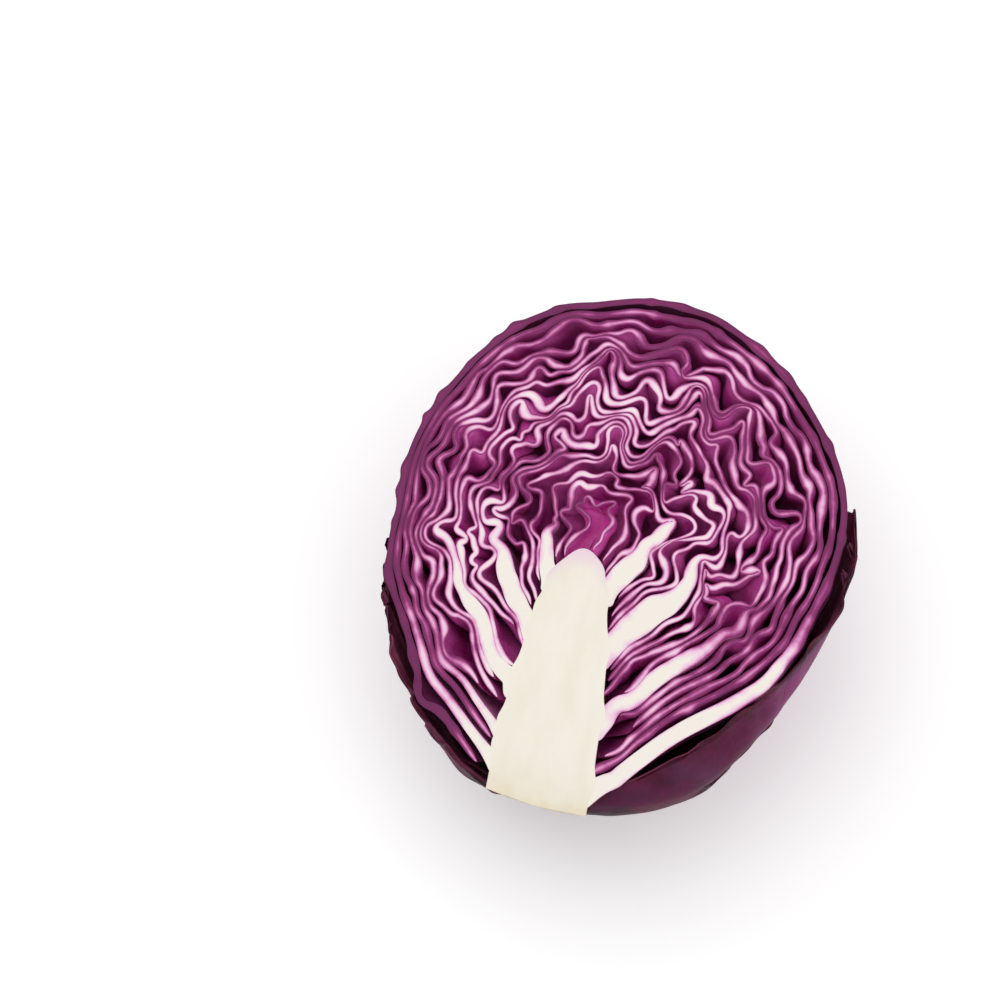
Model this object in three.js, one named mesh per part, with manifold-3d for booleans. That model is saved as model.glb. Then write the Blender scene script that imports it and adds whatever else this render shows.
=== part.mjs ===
// Half of a red cabbage head, cut lengthwise through the core and lying on its round back, cut face up.
//
// The head is drawn in its own frame, in millimetres: u runs across the cut face, v runs along the core
// from the stem end to the top, and w goes down into the head from the cut face, which is the plane w = 0.
// Its leaves lie on a family of nested shells. A shell's depth x is 0 at the skin of the head and 1 at the
// eye, the point above the core's tip that the leaves close around. On a shell, azimuth is the angle about
// the core, 0 at the right edge of the cut and PI at the left edge, and height is 0 where the shell meets
// the core, 1 where it is widest and 2 at the top. A leaf is the space between two shells, over a patch.
import * as THREE from "three";
import { mergeVertices } from "three/addons/utils/BufferGeometryUtils.js";
import Module from "manifold-3d";

const wasm = await Module();
wasm.setup();

const { PI } = Math;
const DEGREES = PI / 180;

// Driving dimensions, in millimetres.
const HEAD_TOP = 180; // from the stem end to the top of the head
const HEAD_HALF_WIDTH = 76;
const HEAD_DEPTH = 72;
const HEAD_CENTRE = 11; // how far the head's middle stands to the right of the core
const EYE = { u: 3, v: 100 };
const CORE_RADIUS = 16.5;
const CORE_HEIGHT = 86;
const CORE_TAPER = 2.6; // the higher, the later the core starts to narrow
const LEAF_GAP = 0.35; // between a leaf and the core
const TILT = 4 * DEGREES; // the stem end lies this much lower than the top
const LEAN = 5 * DEGREES; // the left edge of the cut lies this much lower than the right edge
const FLAT_SPOT_DEPTH = 2.6; // how far the round back is pressed in where it rests
const FLAT_SPOT_FADE = 0.8; // how much of a shell's own spacing is left above the flat spot

// How each side of a shell changes from the skin to the eye: its reach from the head's middle line, the
// share of that reach which shrinks evenly, the height along the core where the skin is widest, where the
// shell leaves the core, and its angle from the core there. Loose leaves leave it lower and flare out more.
const SIDES = {
  right: { reach: HEAD_HALF_WIDTH, even: 0.7, widest: 98, base: [3, 88], angle: [58, 18], drop: 2, flare: 20 },
  left: { reach: HEAD_HALF_WIDTH, even: 0.5, widest: 92, base: [4, 85], angle: [56, 20], drop: 3, flare: 5 },
  back: { reach: HEAD_DEPTH, even: 0.6, widest: 96, base: [6, 86], angle: [52, 20], drop: 4, flare: 12 },
};
const RIB_REACH = 0.42; // length of the straight first stretch, as a share of the way to the widest point
const SIDE_REACH = 0.4; // height of the upright stretch below the widest point, as a share of that height

// Leaves on the shells, from the outside in.
const SHELL_LEAVES = 18;
const FIRST_SHELL = 0.078;
const LEAF_STEP = 0.0513; // from one leaf to the next, in shell depth
const BLADE_HALF = 0.0105; // half the thickness of a blade, in shell depth
const RIB_END = 0.9; // height where a rib has thinned to the blade
const RIB_SPREAD = 24 * DEGREES;

// The leaves whose midrib the cut goes through: leaf number, side and half thickness in shell depth.
const RIBS = new Map([
  [1, { side: "right", half: 0.05 }],
  [2, { side: "left", half: 0.029 }],
  [4, { side: "left", half: 0.024 }],
  [6, { side: "right", half: 0.052 }],
  [8, { side: "left", half: 0.044 }],
  [11, { side: "right", half: 0.078 }],
  [12, { side: "left", half: 0.04 }],
  [14, { side: "left", half: 0.032 }],
  [15, { side: "right", half: 0.053 }],
]);
const START_BESIDE_RIB = 0.54; // height where a leaf next to a rib begins
const START_CLEAR_OF_RIB = 0.22;
const START_BEHIND = 0.1; // at the back of the head, away from the cut

// The loose outer leaves: shell depths of their two faces, azimuths, and height of the tip along them.
const WRAPPERS = {
  wrapper_leaf_right: { shells: [0.02, 0.043], azimuth: [1.5, 116], tip: [1.3, 1.42, 1.05] },
  wrapper_leaf_left: { shells: [0.02, 0.043], azimuth: [122, 178.5], tip: [1.1, 0.95, 0.56] },
  wrapper_leaf_back: { shells: [-0.024, 0.0], azimuth: [20, 160], tip: [1.1, 1.86, 1.2] },
};
const UNDER_WRAPPERS = 0.062; // the shallowest shell that the head leaves may reach
const LOOSENING = 0.018; // shell depth above that in which the shells come loose from the head

// Stations that every leaf is built on, so that the flats of neighbouring leaves lie side by side.
const ALONG_STATIONS = 20;
const TURN_STATIONS = 5;
const AZIMUTH_STATIONS = 20;
const HEIGHT_STATIONS = 20;

const COLOURS = { blade: 0x7b3566, wrapper: 0x6e3058, core: 0xefe8d8 };

const mix = (a, b, t) => a + (b - a) * t;
const smooth = (t) => t * t * (3 - 2 * t);
const clamp = (t, low, high) => Math.min(high, Math.max(low, t));
const steps = (from, to, count) => Array.from({ length: count + 1 }, (_, i) => mix(from, to, i / count));

// The core's radius at a height along it.
const coreRadius = (v) => CORE_RADIUS * Math.sqrt(Math.max(0, 1 - (Math.max(v, 0) / CORE_HEIGHT) ** CORE_TAPER));

// One side's outline on shell x at a height: reach from the head's middle line, and v.
function outline(x, sideName, height) {
  const side = SIDES[sideName];
  const widest = mix(side.widest, EYE.v, x);
  const reach = side.reach * (1 - side.even * x - (1 - side.even) * x * Math.abs(x));
  if (height > 1) {
    const turn = ((height - 1) * PI) / 2;
    const top = mix(HEAD_TOP, EYE.v, x);
    return { reach: reach * Math.cos(turn), v: mix(widest, top, Math.sin(turn)) };
  }
  const loose = smooth(clamp((UNDER_WRAPPERS - x) / LOOSENING, 0, 1));
  const base = mix(...side.base, x) - side.drop * loose;
  const angle = (mix(...side.angle, x) + side.flare * loose) * DEGREES;
  const foot = new THREE.Vector2(coreRadius(base) + LEAF_GAP, base);
  const shoulder = new THREE.Vector2(reach, widest);
  const run = RIB_REACH * foot.distanceTo(shoulder);
  const curve = new THREE.CubicBezierCurve(
    foot,
    new THREE.Vector2(foot.x + run * Math.sin(angle), foot.y + run * Math.cos(angle)),
    new THREE.Vector2(reach, mix(widest, base, SIDE_REACH)),
    shoulder,
  );
  const point = curve.getPoint(height);
  return { reach: point.x, v: point.y };
}

// The part's own frame: lying down, stem end towards -Y, and pressed flat where it rests.
const lyingDown = new THREE.Matrix4().makeRotationY(-LEAN).multiply(new THREE.Matrix4().makeRotationX(TILT));
const settle = { floor: -Infinity };

function placed(x, u, v, w) {
  const point = new THREE.Vector3(u, v, -w).applyMatrix4(lyingDown);
  const shellSpacing = HEAD_DEPTH * SIDES.back.even * FLAT_SPOT_FADE;
  point.z = Math.max(point.z, settle.floor + (x - OUTERMOST) * shellSpacing);
  return point;
}

// A point on shell x at an azimuth and a height.
function onShell(x, azimuth, height) {
  const flank = outline(x, Math.cos(azimuth) >= 0 ? "right" : "left", height);
  const back = outline(x, "back", height);
  const middle = mix(HEAD_CENTRE, EYE.u, x) * smooth(clamp(height, 0, 1));
  const v = mix(flank.v, back.v, Math.sin(azimuth) ** 2);
  return placed(x, middle + flank.reach * Math.cos(azimuth), v, back.reach * Math.sin(azimuth));
}

// A point on shell x by its place along the cut edge, 0 to 4 from the right foot over the top to the left
// foot, and by how far the arc from there has turned towards the back of the head, 0 to PI / 2.
function onArc(x, along, turn) {
  const fromRight = along <= 2;
  const height = fromRight ? along : 4 - along;
  if (height <= 1) return onShell(x, fromRight ? turn : PI - turn, height);
  const rise = ((height - 1) * PI) / 2;
  const azimuth = Math.atan2(Math.sin(turn), Math.cos(rise) * Math.cos(turn));
  const lift = Math.asin(clamp(Math.sin(rise) * Math.cos(turn), -1, 1));
  return onShell(x, fromRight ? azimuth : PI - azimuth, 1 + (lift * 2) / PI);
}

// Triangles that share their corners, with those that have no area left out.
function solidFrom(triangles) {
  const geometry = new THREE.BufferGeometry().setFromPoints(triangles.flat());
  const merged = mergeVertices(geometry, 1e-4);
  const corners = merged.index.array;
  const kept = [];
  for (let i = 0; i < corners.length; i += 3) {
    const [a, b, c] = corners.slice(i, i + 3);
    if (a !== b && b !== c && c !== a) kept.push(a, b, c);
  }
  return merged.setIndex(kept);
}

// The four-cornered faces of a grid of points, as triangles, or with their faces turned round.
function gridFaces(grid, turned) {
  const triangles = [];
  for (let i = 0; i + 1 < grid.length; i++) {
    for (let j = 0; j + 1 < grid[i].length; j++) {
      const [a, b, c, d] = [grid[i][j], grid[i + 1][j], grid[i + 1][j + 1], grid[i][j + 1]];
      triangles.push(...(turned ? [[a, c, b], [a, d, c]] : [[a, b, c], [a, c, d]]));
    }
  }
  return triangles;
}

// A closed sheet between an outer and an inner grid. Where the last column is welded shut, it gets no rim.
function sheetBetween(outer, inner, lastColumnOpen = true) {
  const last = outer.length - 1;
  const column = (grid, j) => grid.map((row) => row.at(j));
  const triangles = [
    ...gridFaces(outer, false),
    ...gridFaces(inner, true),
    ...gridFaces([inner[0], outer[0]], false),
    ...gridFaces([outer[last], inner[last]], false),
    ...gridFaces([column(outer, 0), column(inner, 0)], false),
  ];
  if (lastColumnOpen) triangles.push(...gridFaces([column(inner, -1), column(outer, -1)], false));
  return solidFrom(triangles);
}

function mesh(name, geometry, colour, roughness = 0.55) {
  geometry.computeVertexNormals();
  const made = new THREE.Mesh(geometry, new THREE.MeshStandardMaterial({ color: colour, roughness, metalness: 0 }));
  made.name = name;
  return made;
}

// Shell depth of a leaf's middle, by its number from the outside.
const shellOf = (number) => FIRST_SHELL + (number - 1) * LEAF_STEP;

// The height at which a leaf begins on one edge of the cut.
function startAt(number, side) {
  const ribHere = (n) => RIBS.get(n)?.side === side;
  if (ribHere(number)) return 0;
  return ribHere(number - 1) || ribHere(number + 1) ? START_BESIDE_RIB : START_CLEAR_OF_RIB;
}

// Half a leaf's thickness, in shell depth: a blade, with a rib that thins out along its own side.
function halfThickness(number, along, turn) {
  const rib = RIBS.get(number);
  const height = rib?.side === "right" ? along : 4 - along;
  if (!rib || height > RIB_END) return BLADE_HALF;
  const across = Math.exp(-((turn / RIB_SPREAD) ** 2));
  return mix(BLADE_HALF, rib.half, smooth(1 - height / RIB_END) * across);
}

// A leaf that closes over the whole inside of the head, as a bowl between two shells.
function headLeaf(number) {
  const x = shellOf(number);
  const grid = (sign) =>
    steps(0, 4, ALONG_STATIONS).map((station) =>
      steps(0, PI / 2, TURN_STATIONS).map((turn) => {
        const fade = 1 - turn / (PI / 2);
        const right = mix(START_BEHIND, startAt(number, "right"), fade);
        const left = mix(START_BEHIND, startAt(number, "left"), fade);
        const along = clamp(station, right, 4 - left);
        const shell = x + sign * halfThickness(number, along, turn);
        return onArc(Math.max(shell, UNDER_WRAPPERS), along, turn);
      }),
    );
  return mesh(`head_leaf_${String(number).padStart(2, "0")}`, sheetBetween(grid(1), grid(-1), false), COLOURS.blade);
}

// A loose outer leaf that lies on the head from its foot to its rounded tip.
function wrapperLeaf(name) {
  const { shells, azimuth, tip } = WRAPPERS[name];
  const [from, to] = azimuth.map((angle) => angle * DEGREES);
  const grid = (x) =>
    steps(0, PI, AZIMUTH_STATIONS).map((station) => {
      const azimuthHere = clamp(station, from, to);
      const across = (2 * (azimuthHere - from)) / (to - from);
      const tipHere = across < 1 ? mix(tip[0], tip[1], smooth(across)) : mix(tip[1], tip[2], smooth(across - 1));
      return steps(0, 2, HEIGHT_STATIONS).map((height) => onShell(x, azimuthHere, Math.min(height, tipHere)));
    });
  return mesh(name, sheetBetween(grid(shells[0]), grid(shells[1])), COLOURS.wrapper);
}

const manifoldOf = (geometry) => {
  const bare = new THREE.BufferGeometry()
    .setAttribute("position", geometry.getAttribute("position"))
    .setIndex(geometry.index);
  const merged = mergeVertices(bare, 1e-4);
  return new wasm.Manifold(
    new wasm.Mesh({
      numProp: 3,
      vertProperties: merged.attributes.position.array,
      triVerts: new Uint32Array(merged.index.array),
    }),
  );
};

const geometryOf = (manifold) => {
  const { vertProperties, triVerts } = manifold.getMesh();
  return new THREE.BufferGeometry()
    .setAttribute("position", new THREE.BufferAttribute(vertProperties, 3))
    .setIndex(new THREE.BufferAttribute(triVerts, 1));
};

// The core, turned about its own axis and cut in half by the knife.
function core() {
  const heights = steps(0, 1, 14).map((share) => CORE_HEIGHT * Math.sin((share * PI) / 2));
  const profile = [new THREE.Vector2(0, 0), ...heights.map((v) => new THREE.Vector2(coreRadius(v), v))];
  profile[profile.length - 1].x = 0;
  const whole = manifoldOf(new THREE.LatheGeometry(profile, 36));
  const knife = new THREE.BoxGeometry(4 * CORE_RADIUS, 3 * CORE_HEIGHT, 4 * CORE_RADIUS);
  knife.translate(0, 0, 2 * CORE_RADIUS);
  const half = geometryOf(whole.subtract(manifoldOf(knife)));
  return mesh("core", half.applyMatrix4(lyingDown), COLOURS.core, 0.45);
}

const OUTERMOST = Math.min(...Object.values(WRAPPERS).map((leaf) => leaf.shells[0]));
const lowest = Math.min(
  ...steps(0, PI, 36).flatMap((azimuth) => steps(0.5, 1.5, 36).map((height) => onShell(OUTERMOST, azimuth, height).z)),
);
settle.floor = lowest + FLAT_SPOT_DEPTH;

const head = new THREE.Group();
head.add(core());
for (const name of Object.keys(WRAPPERS)) head.add(wrapperLeaf(name));
for (let number = 1; number <= SHELL_LEAVES; number++) head.add(headLeaf(number));

// The origin is under the middle of the part, on the surface that it rests on.
const box = new THREE.Box3().setFromObject(head);
head.position.set(-(box.min.x + box.max.x) / 2, -(box.min.y + box.max.y) / 2, -box.min.z);

export default head;
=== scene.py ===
"""Half of a red cabbage head, cut lengthwise through the core and lying on its round back, cut face up.

The head is drawn in its own frame, as its solids are: u runs across the cut face, v runs along the core
from the stem end to the top, and w goes down into the head from the cut face, which is the plane w = 0.
Sizes are in millimetres and angles in radians where nothing else is said.

The leaves lie on nested shells. A shell's depth x is 0 at the skin of the head and 1 at the eye, the point
above the core's tip that the leaves close around. On a shell, azimuth is the angle about the core, 0 at the
right edge of the cut and pi at the left edge, and height is 0 where the shell meets the core, 1 where it is
widest and 2 at the top. Along the cut edge of a shell, a place runs from 0 at the right foot over 2 at the
top to 4 at the left foot, and turn is the angle from there towards the back of the head.
"""
from __future__ import annotations

import logging
import math
from dataclasses import dataclass, field
from enum import Enum

import bpy
import numpy as np
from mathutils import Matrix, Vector

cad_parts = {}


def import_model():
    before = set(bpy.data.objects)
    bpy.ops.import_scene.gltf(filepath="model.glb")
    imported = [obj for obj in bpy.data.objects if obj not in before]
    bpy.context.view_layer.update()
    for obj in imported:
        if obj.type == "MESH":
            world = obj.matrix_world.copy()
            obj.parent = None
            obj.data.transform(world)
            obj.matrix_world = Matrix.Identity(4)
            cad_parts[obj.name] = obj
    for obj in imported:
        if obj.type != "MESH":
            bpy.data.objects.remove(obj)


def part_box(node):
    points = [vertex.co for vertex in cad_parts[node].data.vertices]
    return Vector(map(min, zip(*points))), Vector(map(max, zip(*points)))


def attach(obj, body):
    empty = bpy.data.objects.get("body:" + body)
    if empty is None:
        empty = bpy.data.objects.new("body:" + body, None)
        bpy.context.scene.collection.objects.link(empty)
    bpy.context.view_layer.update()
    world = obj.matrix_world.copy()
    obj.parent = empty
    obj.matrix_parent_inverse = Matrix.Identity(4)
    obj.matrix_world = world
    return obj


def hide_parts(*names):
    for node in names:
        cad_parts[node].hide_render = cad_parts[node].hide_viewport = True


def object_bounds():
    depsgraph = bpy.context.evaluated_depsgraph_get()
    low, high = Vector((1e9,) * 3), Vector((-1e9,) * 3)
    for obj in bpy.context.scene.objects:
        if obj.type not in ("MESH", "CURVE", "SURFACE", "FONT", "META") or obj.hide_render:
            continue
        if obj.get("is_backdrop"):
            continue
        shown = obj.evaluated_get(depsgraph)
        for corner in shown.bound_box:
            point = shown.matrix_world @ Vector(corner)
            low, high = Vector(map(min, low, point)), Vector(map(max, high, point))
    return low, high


log = logging.getLogger("red_cabbage")

PI = math.pi
MM = 0.001
BODY = "root"
WELD = 2e-6  # corners closer than this, in metres, are one corner
EDGE_UNIT = 110  # millimetres to a unit of place along the skin's cut edge, on the whole
RISE_UNIT = 95  # millimetres to a unit of height on the skin, on the whole
SIDE_UNIT = 70  # millimetres to a unit across an outer leaf, on the whole
FAR = 100.0  # millimetres, further than any leaf is thick

Array = np.ndarray
Colour = tuple[float, float, float, float]
Socket = bpy.types.NodeSocket


def mix(a: Array | float, b: Array | float, share: Array | float) -> Array | float:
    """The value a share of the way from a to b."""
    return a + (b - a) * share


def ease(share: Array | float) -> Array:
    """A share held between 0 and 1, with a gentle start and end."""
    held = np.clip(share, 0, 1)
    return held * held * (3 - 2 * held)


def bump(distance: Array | float, width: float) -> Array:
    """A round hill of height 1 over a distance of 0."""
    return np.exp(-((distance / width) ** 2))


def unit(vectors: Array) -> Array:
    """Vectors along the last axis, each made one long."""
    return vectors / (np.linalg.norm(vectors, axis=-1, keepdims=True) + 1e-12)


def tint(red: float, green: float, blue: float) -> Colour:
    """A colour in linear values, from its red, green and blue on the usual scale of 0 to 255."""
    linear = [((c / 255 + 0.055) / 1.055) ** 2.4 if c > 10 else c / 255 / 12.92 for c in (red, green, blue)]
    return (linear[0], linear[1], linear[2], 1.0)


@dataclass(frozen=True)
class Wave:
    """A random wave, the sum of sine waves of random length.

    Args:
        shortest: length of the shortest sine wave, in millimetres.
        longest: length of the longest sine wave.
        count: number of sine waves.
    """

    shortest: float
    longest: float
    count: int

    def along(self, rng: np.random.Generator, place: Array) -> Array:
        """The wave along a place in millimetres, about 1 high.

        Args:
            rng: source of the random draws.
            place: place along the wave.

        Returns:
            The height of the wave at each place.
        """
        total = np.zeros(np.shape(place))
        lengths = rng.uniform(self.shortest, self.longest, self.count)
        for length, phase in zip(lengths, rng.uniform(0, 2 * PI, self.count)):
            total = total + np.sin(2 * PI * place / length + phase)
        return total * math.sqrt(2 / self.count)


@dataclass(frozen=True)
class Fade:
    """A gentle change from 0 to 1.

    Args:
        start: where it begins.
        length: over how far it goes.
    """

    start: float
    length: float

    def at(self, place: Array | float) -> Array:
        """How far the change has gone at a place."""
        return ease((place - self.start) / self.length)


class Side(Enum):
    """The sides of the head, seen on the cut face, and its back."""

    RIGHT = "right"
    LEFT = "left"
    BACK = "back"


@dataclass(frozen=True)
class SideShape:
    """How one side of a shell changes from the skin to the eye.

    Args:
        reach: from the head's middle line to the skin.
        even: the share of that reach which shrinks evenly.
        widest: height along the core where the skin is widest.
        base: where the shell leaves the core, at the skin and at the eye.
        angle: its angle from the core there, in degrees, at the skin and at the eye.
        drop: how much lower loose leaves leave the core.
        flare: how many degrees further out loose leaves start.
    """

    reach: float
    even: float
    widest: float
    base: tuple[float, float]
    angle: tuple[float, float]
    drop: float
    flare: float


@dataclass(frozen=True)
class Head:
    """The family of nested shells that all leaves lie on, and the way to the part's own frame.

    Args:
        top: v of the top of the head.
        centre: u of the head's middle line at the skin.
        eye: u and v of the point that the leaves close around.
        core_radius: radius of the core at the stem end.
        core_height: from the stem end to the core's tip.
        core_taper: how late the core narrows to its tip. A higher value is later.
        core_rings: corners along the solid core.
        core_turn: degrees between the corners round the solid core.
        leaf_gap: from the core to the foot of a leaf.
        tilt: angle by which the cut face rises from the stem end to the top.
        lean: angle by which the cut face rises from left to right.
        flat_spot_fade: how far apart the shells lie over the flat spot, as a share of their usual distance.
        outermost: shell depth of the outermost leaf's outer face.
        under_wrappers: shell depth where the loose outer leaves end and the firm head begins.
        loosening: how much shell depth that change takes.
        rib_reach: how far a shell runs straight out from the core, as a share of the way to its widest place.
        side_reach: where a shell starts to turn upright, as a share of its height below where it is widest.
        top_lean: how far the top of the skin leans to the left.
        top_lean_start: height on the shell where that lean begins.
        sides: the shape of each side.
    """

    top: float = 180
    centre: float = 11
    eye: tuple[float, float] = (3, 100)
    core_radius: float = 16.5
    core_height: float = 86
    core_taper: float = 2.25
    core_rings: int = 15
    core_turn: int = 10
    leaf_gap: float = 0.35
    tilt: float = math.radians(4)
    lean: float = math.radians(5)
    flat_spot_fade: float = 0.8
    outermost: float = -0.024
    under_wrappers: float = 0.062
    loosening: float = 0.018
    rib_reach: float = 0.42
    side_reach: float = 0.4
    top_lean: float = 4.8
    top_lean_start: float = 0.9
    sides: dict[Side, SideShape] = field(
        default_factory=lambda: {
            Side.RIGHT: SideShape(75.5, 0.7, 97.5, (3, 88), (56, 18), 2, 20),
            Side.LEFT: SideShape(77.5, 0.5, 93, (4, 85), (54, 20), 3, 5),
            Side.BACK: SideShape(72, 0.6, 96, (6, 86), (52, 20), 4, 12),
        }
    )

    def core_at(self, v: Array | float) -> Array:
        """The core's radius at a height along it."""
        along = np.maximum(v, 0) / self.core_height
        return self.core_radius * np.sqrt(np.maximum(0, 1 - along**self.core_taper))

    def reach(self, x: Array, side: Side) -> Array:
        """How far shell x reaches from the head's middle line on a side."""
        shape = self.sides[side]
        return shape.reach * (1 - shape.even * x - (1 - shape.even) * x * np.abs(x))

    def outline(self, x: Array, side: Side, height: Array) -> tuple[Array, Array]:
        """One side's outline on a shell.

        Args:
            x: shell depth.
            side: the side of the head.
            height: height on the shell, 0 to 2.

        Returns:
            The reach from the head's middle line, and v.
        """
        shape = self.sides[side]
        widest = mix(shape.widest, self.eye[1], x)
        reach = self.reach(x, side)
        turn = np.clip(height - 1, 0, 1) * PI / 2
        above = (reach * np.cos(turn), mix(widest, mix(self.top, self.eye[1], x), np.sin(turn)))
        loose = ease((self.under_wrappers - x) / self.loosening)
        base = mix(*shape.base, x) - shape.drop * loose
        angle = np.radians(mix(*shape.angle, x) + shape.flare * loose)
        foot = self.core_at(base) + self.leaf_gap
        run = self.rib_reach * np.hypot(reach - foot, widest - base)
        t = np.minimum(height, 1)
        weights = ((1 - t) ** 3, 3 * (1 - t) ** 2 * t, 3 * (1 - t) * t**2, t**3)
        out = (foot, foot + run * np.sin(angle), reach, reach)
        up = (base, base + run * np.cos(angle), mix(widest, base, self.side_reach), widest)
        below = (sum(w * p for w, p in zip(weights, out)), sum(w * p for w, p in zip(weights, up)))
        return np.where(height > 1, above[0], below[0]), np.where(height > 1, above[1], below[1])

    def on_shell(self, x: Array, azimuth: Array, height: Array) -> tuple[Array, Array, Array]:
        """Points on a shell.

        Args:
            x: shell depth.
            azimuth: angle about the core.
            height: height on the shell, 0 to 2.

        Returns:
            u, v and w of the points.
        """
        on_right = np.cos(azimuth) >= 0
        right, left = self.outline(x, Side.RIGHT, height), self.outline(x, Side.LEFT, height)
        reach, rise = (np.where(on_right, a, b) for a, b in zip(right, left))
        back_reach, back_rise = self.outline(x, Side.BACK, height)
        middle = mix(self.centre, self.eye[0], x) * ease(height)
        leaning = ease((height - self.top_lean_start) / (2 - self.top_lean_start))
        middle = middle - self.top_lean * (1 - x) * leaning
        v = mix(rise, back_rise, np.sin(azimuth) ** 2)
        return middle + reach * np.cos(azimuth), v, back_reach * np.sin(azimuth)

    def on_arc(self, along: Array, turn: Array) -> tuple[Array, Array]:
        """Azimuth and height of a place on an arc that hangs from the cut edge.

        Args:
            along: place along the cut edge, 0 to 4 from the right foot over the top to the left foot.
            turn: how far the arc has turned from there towards the back of the head, 0 to pi / 2.

        Returns:
            The azimuth and the height.
        """
        from_right = along <= 2
        height = np.where(from_right, along, 4 - along)
        rise = np.clip(height - 1, 0, 1) * PI / 2
        above = np.arctan2(np.sin(turn), np.cos(rise) * np.cos(turn))
        lift = np.arcsin(np.clip(np.sin(rise) * np.cos(turn), -1, 1))
        azimuth = np.where(height > 1, above, turn)
        risen = np.where(height > 1, 1 + 2 * lift / PI, height)
        return np.where(from_right, azimuth, PI - azimuth), risen

    def laid_down(self, u: Array, v: Array, w: Array) -> Array:
        """Points of the head turned into the part's own directions.

        Args:
            u: across the cut face.
            v: along the core.
            w: down into the head.

        Returns:
            The points, in millimetres, from the head's own origin.
        """
        across, along, up = np.broadcast_arrays(u, v, -w)
        y = along * math.cos(self.tilt) - up * math.sin(self.tilt)
        z = along * math.sin(self.tilt) + up * math.cos(self.tilt)
        turned = across * math.cos(self.lean) - z * math.sin(self.lean)
        return np.stack([turned, y, across * math.sin(self.lean) + z * math.cos(self.lean)], axis=-1)

    def core_corners(self) -> Array:
        """Corners like those of the solid core.

        Returns:
            The corners in the part's own directions, in millimetres.
        """
        v = self.core_height * np.sin(np.linspace(0, PI / 2, self.core_rings))[:, None]
        around = np.radians(np.arange(0, 181, self.core_turn))[None, :]
        radius = self.core_at(v)
        return self.laid_down(radius * np.cos(around), v, radius * np.sin(around))

    def shift(self) -> Array:
        """From the head's own origin to the part's, in millimetres, by where the solid core stands."""
        return np.array(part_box("core")[0]) / MM - self.core_corners().min(axis=(0, 1))

    def to_part(self, u: Array, v: Array, w: Array, x: Array | float) -> Array:
        """Points of the head in the part's frame, pressed flat where the head rests.

        Args:
            u: across the cut face.
            v: along the core.
            w: down into the head.
            x: shell depth, by which the leaves keep their order over the flat spot.

        Returns:
            The points, in metres.
        """
        points = self.laid_down(u, v, w) + self.shift()
        spacing = self.sides[Side.BACK].reach * self.sides[Side.BACK].even * self.flat_spot_fade
        points[..., 2] = np.maximum(points[..., 2], (x - self.outermost) * spacing)
        return points * MM


@dataclass(frozen=True)
class Swirls:
    """Smooth swirls in planes parallel to the cut. They carry points round without ever crossing two leaves.

    Args:
        seed: of the random waves.
        waves: number of sine waves in each swirl.
        lengths: shortest and longest wave, in millimetres.
        down: shortest wave down into the head.
        travel: how far points are carried, on the whole.
        steps: number of short steps they are carried in.
    """

    seed: int
    waves: int
    lengths: tuple[float, float]
    down: float
    travel: float
    steps: int

    def carry(self, u: Array, v: Array, w: Array, grip: Array) -> tuple[Array, Array]:
        """Carries points along.

        Args:
            u: across the cut face.
            v: along the core.
            w: down into the head.
            grip: how strongly each point is carried, 0 to 1.

        Returns:
            Their new u and v.
        """
        rng = np.random.default_rng(self.seed)
        pitch = 2 * PI / rng.uniform(*self.lengths, self.waves)
        heading, phase = rng.uniform(0, 2 * PI, (2, self.waves))
        sinking = 2 * PI / self.down * rng.uniform(-1, 1, self.waves)
        stride = self.travel / self.steps * grip * math.sqrt(2 / self.waves)
        for _ in range(self.steps):
            go_u, go_v = np.zeros_like(u), np.zeros_like(v)
            for k, angle, deep, start in zip(pitch, heading, sinking, phase):
                swing = np.cos(k * (u * math.cos(angle) + v * math.sin(angle)) + deep * w + start)
                go_u += math.sin(angle) * swing
                go_v -= math.cos(angle) * swing
            u, v = u + stride * go_u, v + stride * go_v
        return u, v


def deselect_all() -> None:
    """Nothing is selected afterwards."""
    bpy.ops.object.select_all(action="DESELECT")


def woven_piece(
    name: str, points: Array, marks: dict[str, Array], cut: slice, smooth_angle: float
) -> bpy.types.Object:
    """A closed piece made from one grid, its corners moved into place and welded where they meet.

    Args:
        name: of the piece.
        points: corners in metres, rows by columns by 3.
        marks: values at the corners that the materials read, rows by columns each.
        cut: the columns of faces that take the second material.
        smooth_angle: edges sharper than this, in degrees, stay sharp.

    Returns:
        The finished object, without its two materials.
    """
    rows, columns = points.shape[:2]
    deselect_all()
    bpy.ops.mesh.primitive_grid_add(x_subdivisions=columns - 1, y_subdivisions=rows - 1, size=1)
    piece = bpy.context.object
    piece.name = name
    piece.data.name = name
    piece.data.vertices.foreach_set("co", points.astype(np.float32).ravel())
    for mark, values in marks.items():
        layer = piece.data.attributes.new(mark, "FLOAT", "POINT")
        layer.data.foreach_set("value", np.broadcast_to(values, (rows, columns)).astype(np.float32).ravel())
    finish = np.zeros((rows - 1, columns - 1), np.int32)
    finish[:, cut] = 1
    piece.data.polygons.foreach_set("material_index", finish.ravel())
    bpy.ops.object.mode_set(mode="EDIT")
    bpy.ops.mesh.select_all(action="SELECT")
    bpy.ops.mesh.remove_doubles(threshold=WELD)
    bpy.ops.mesh.normals_make_consistent(inside=False)
    bpy.ops.object.mode_set(mode="OBJECT")
    bpy.ops.object.shade_smooth_by_angle(angle=math.radians(smooth_angle))
    return piece


def hand_over(piece: bpy.types.Object, node: str, finishes: list[bpy.types.Material]) -> None:
    """Dresses a piece, lets it ride on the body and stand for its solid, and reports it.

    Args:
        piece: the finished piece.
        node: the solid it stands for.
        finishes: materials in the order of the piece's slots.
    """
    for finish in finishes:
        piece.data.materials.append(finish)
    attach(piece, BODY)
    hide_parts(node)
    log.info("%s: %d faces", piece.name, len(piece.data.polygons))


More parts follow.
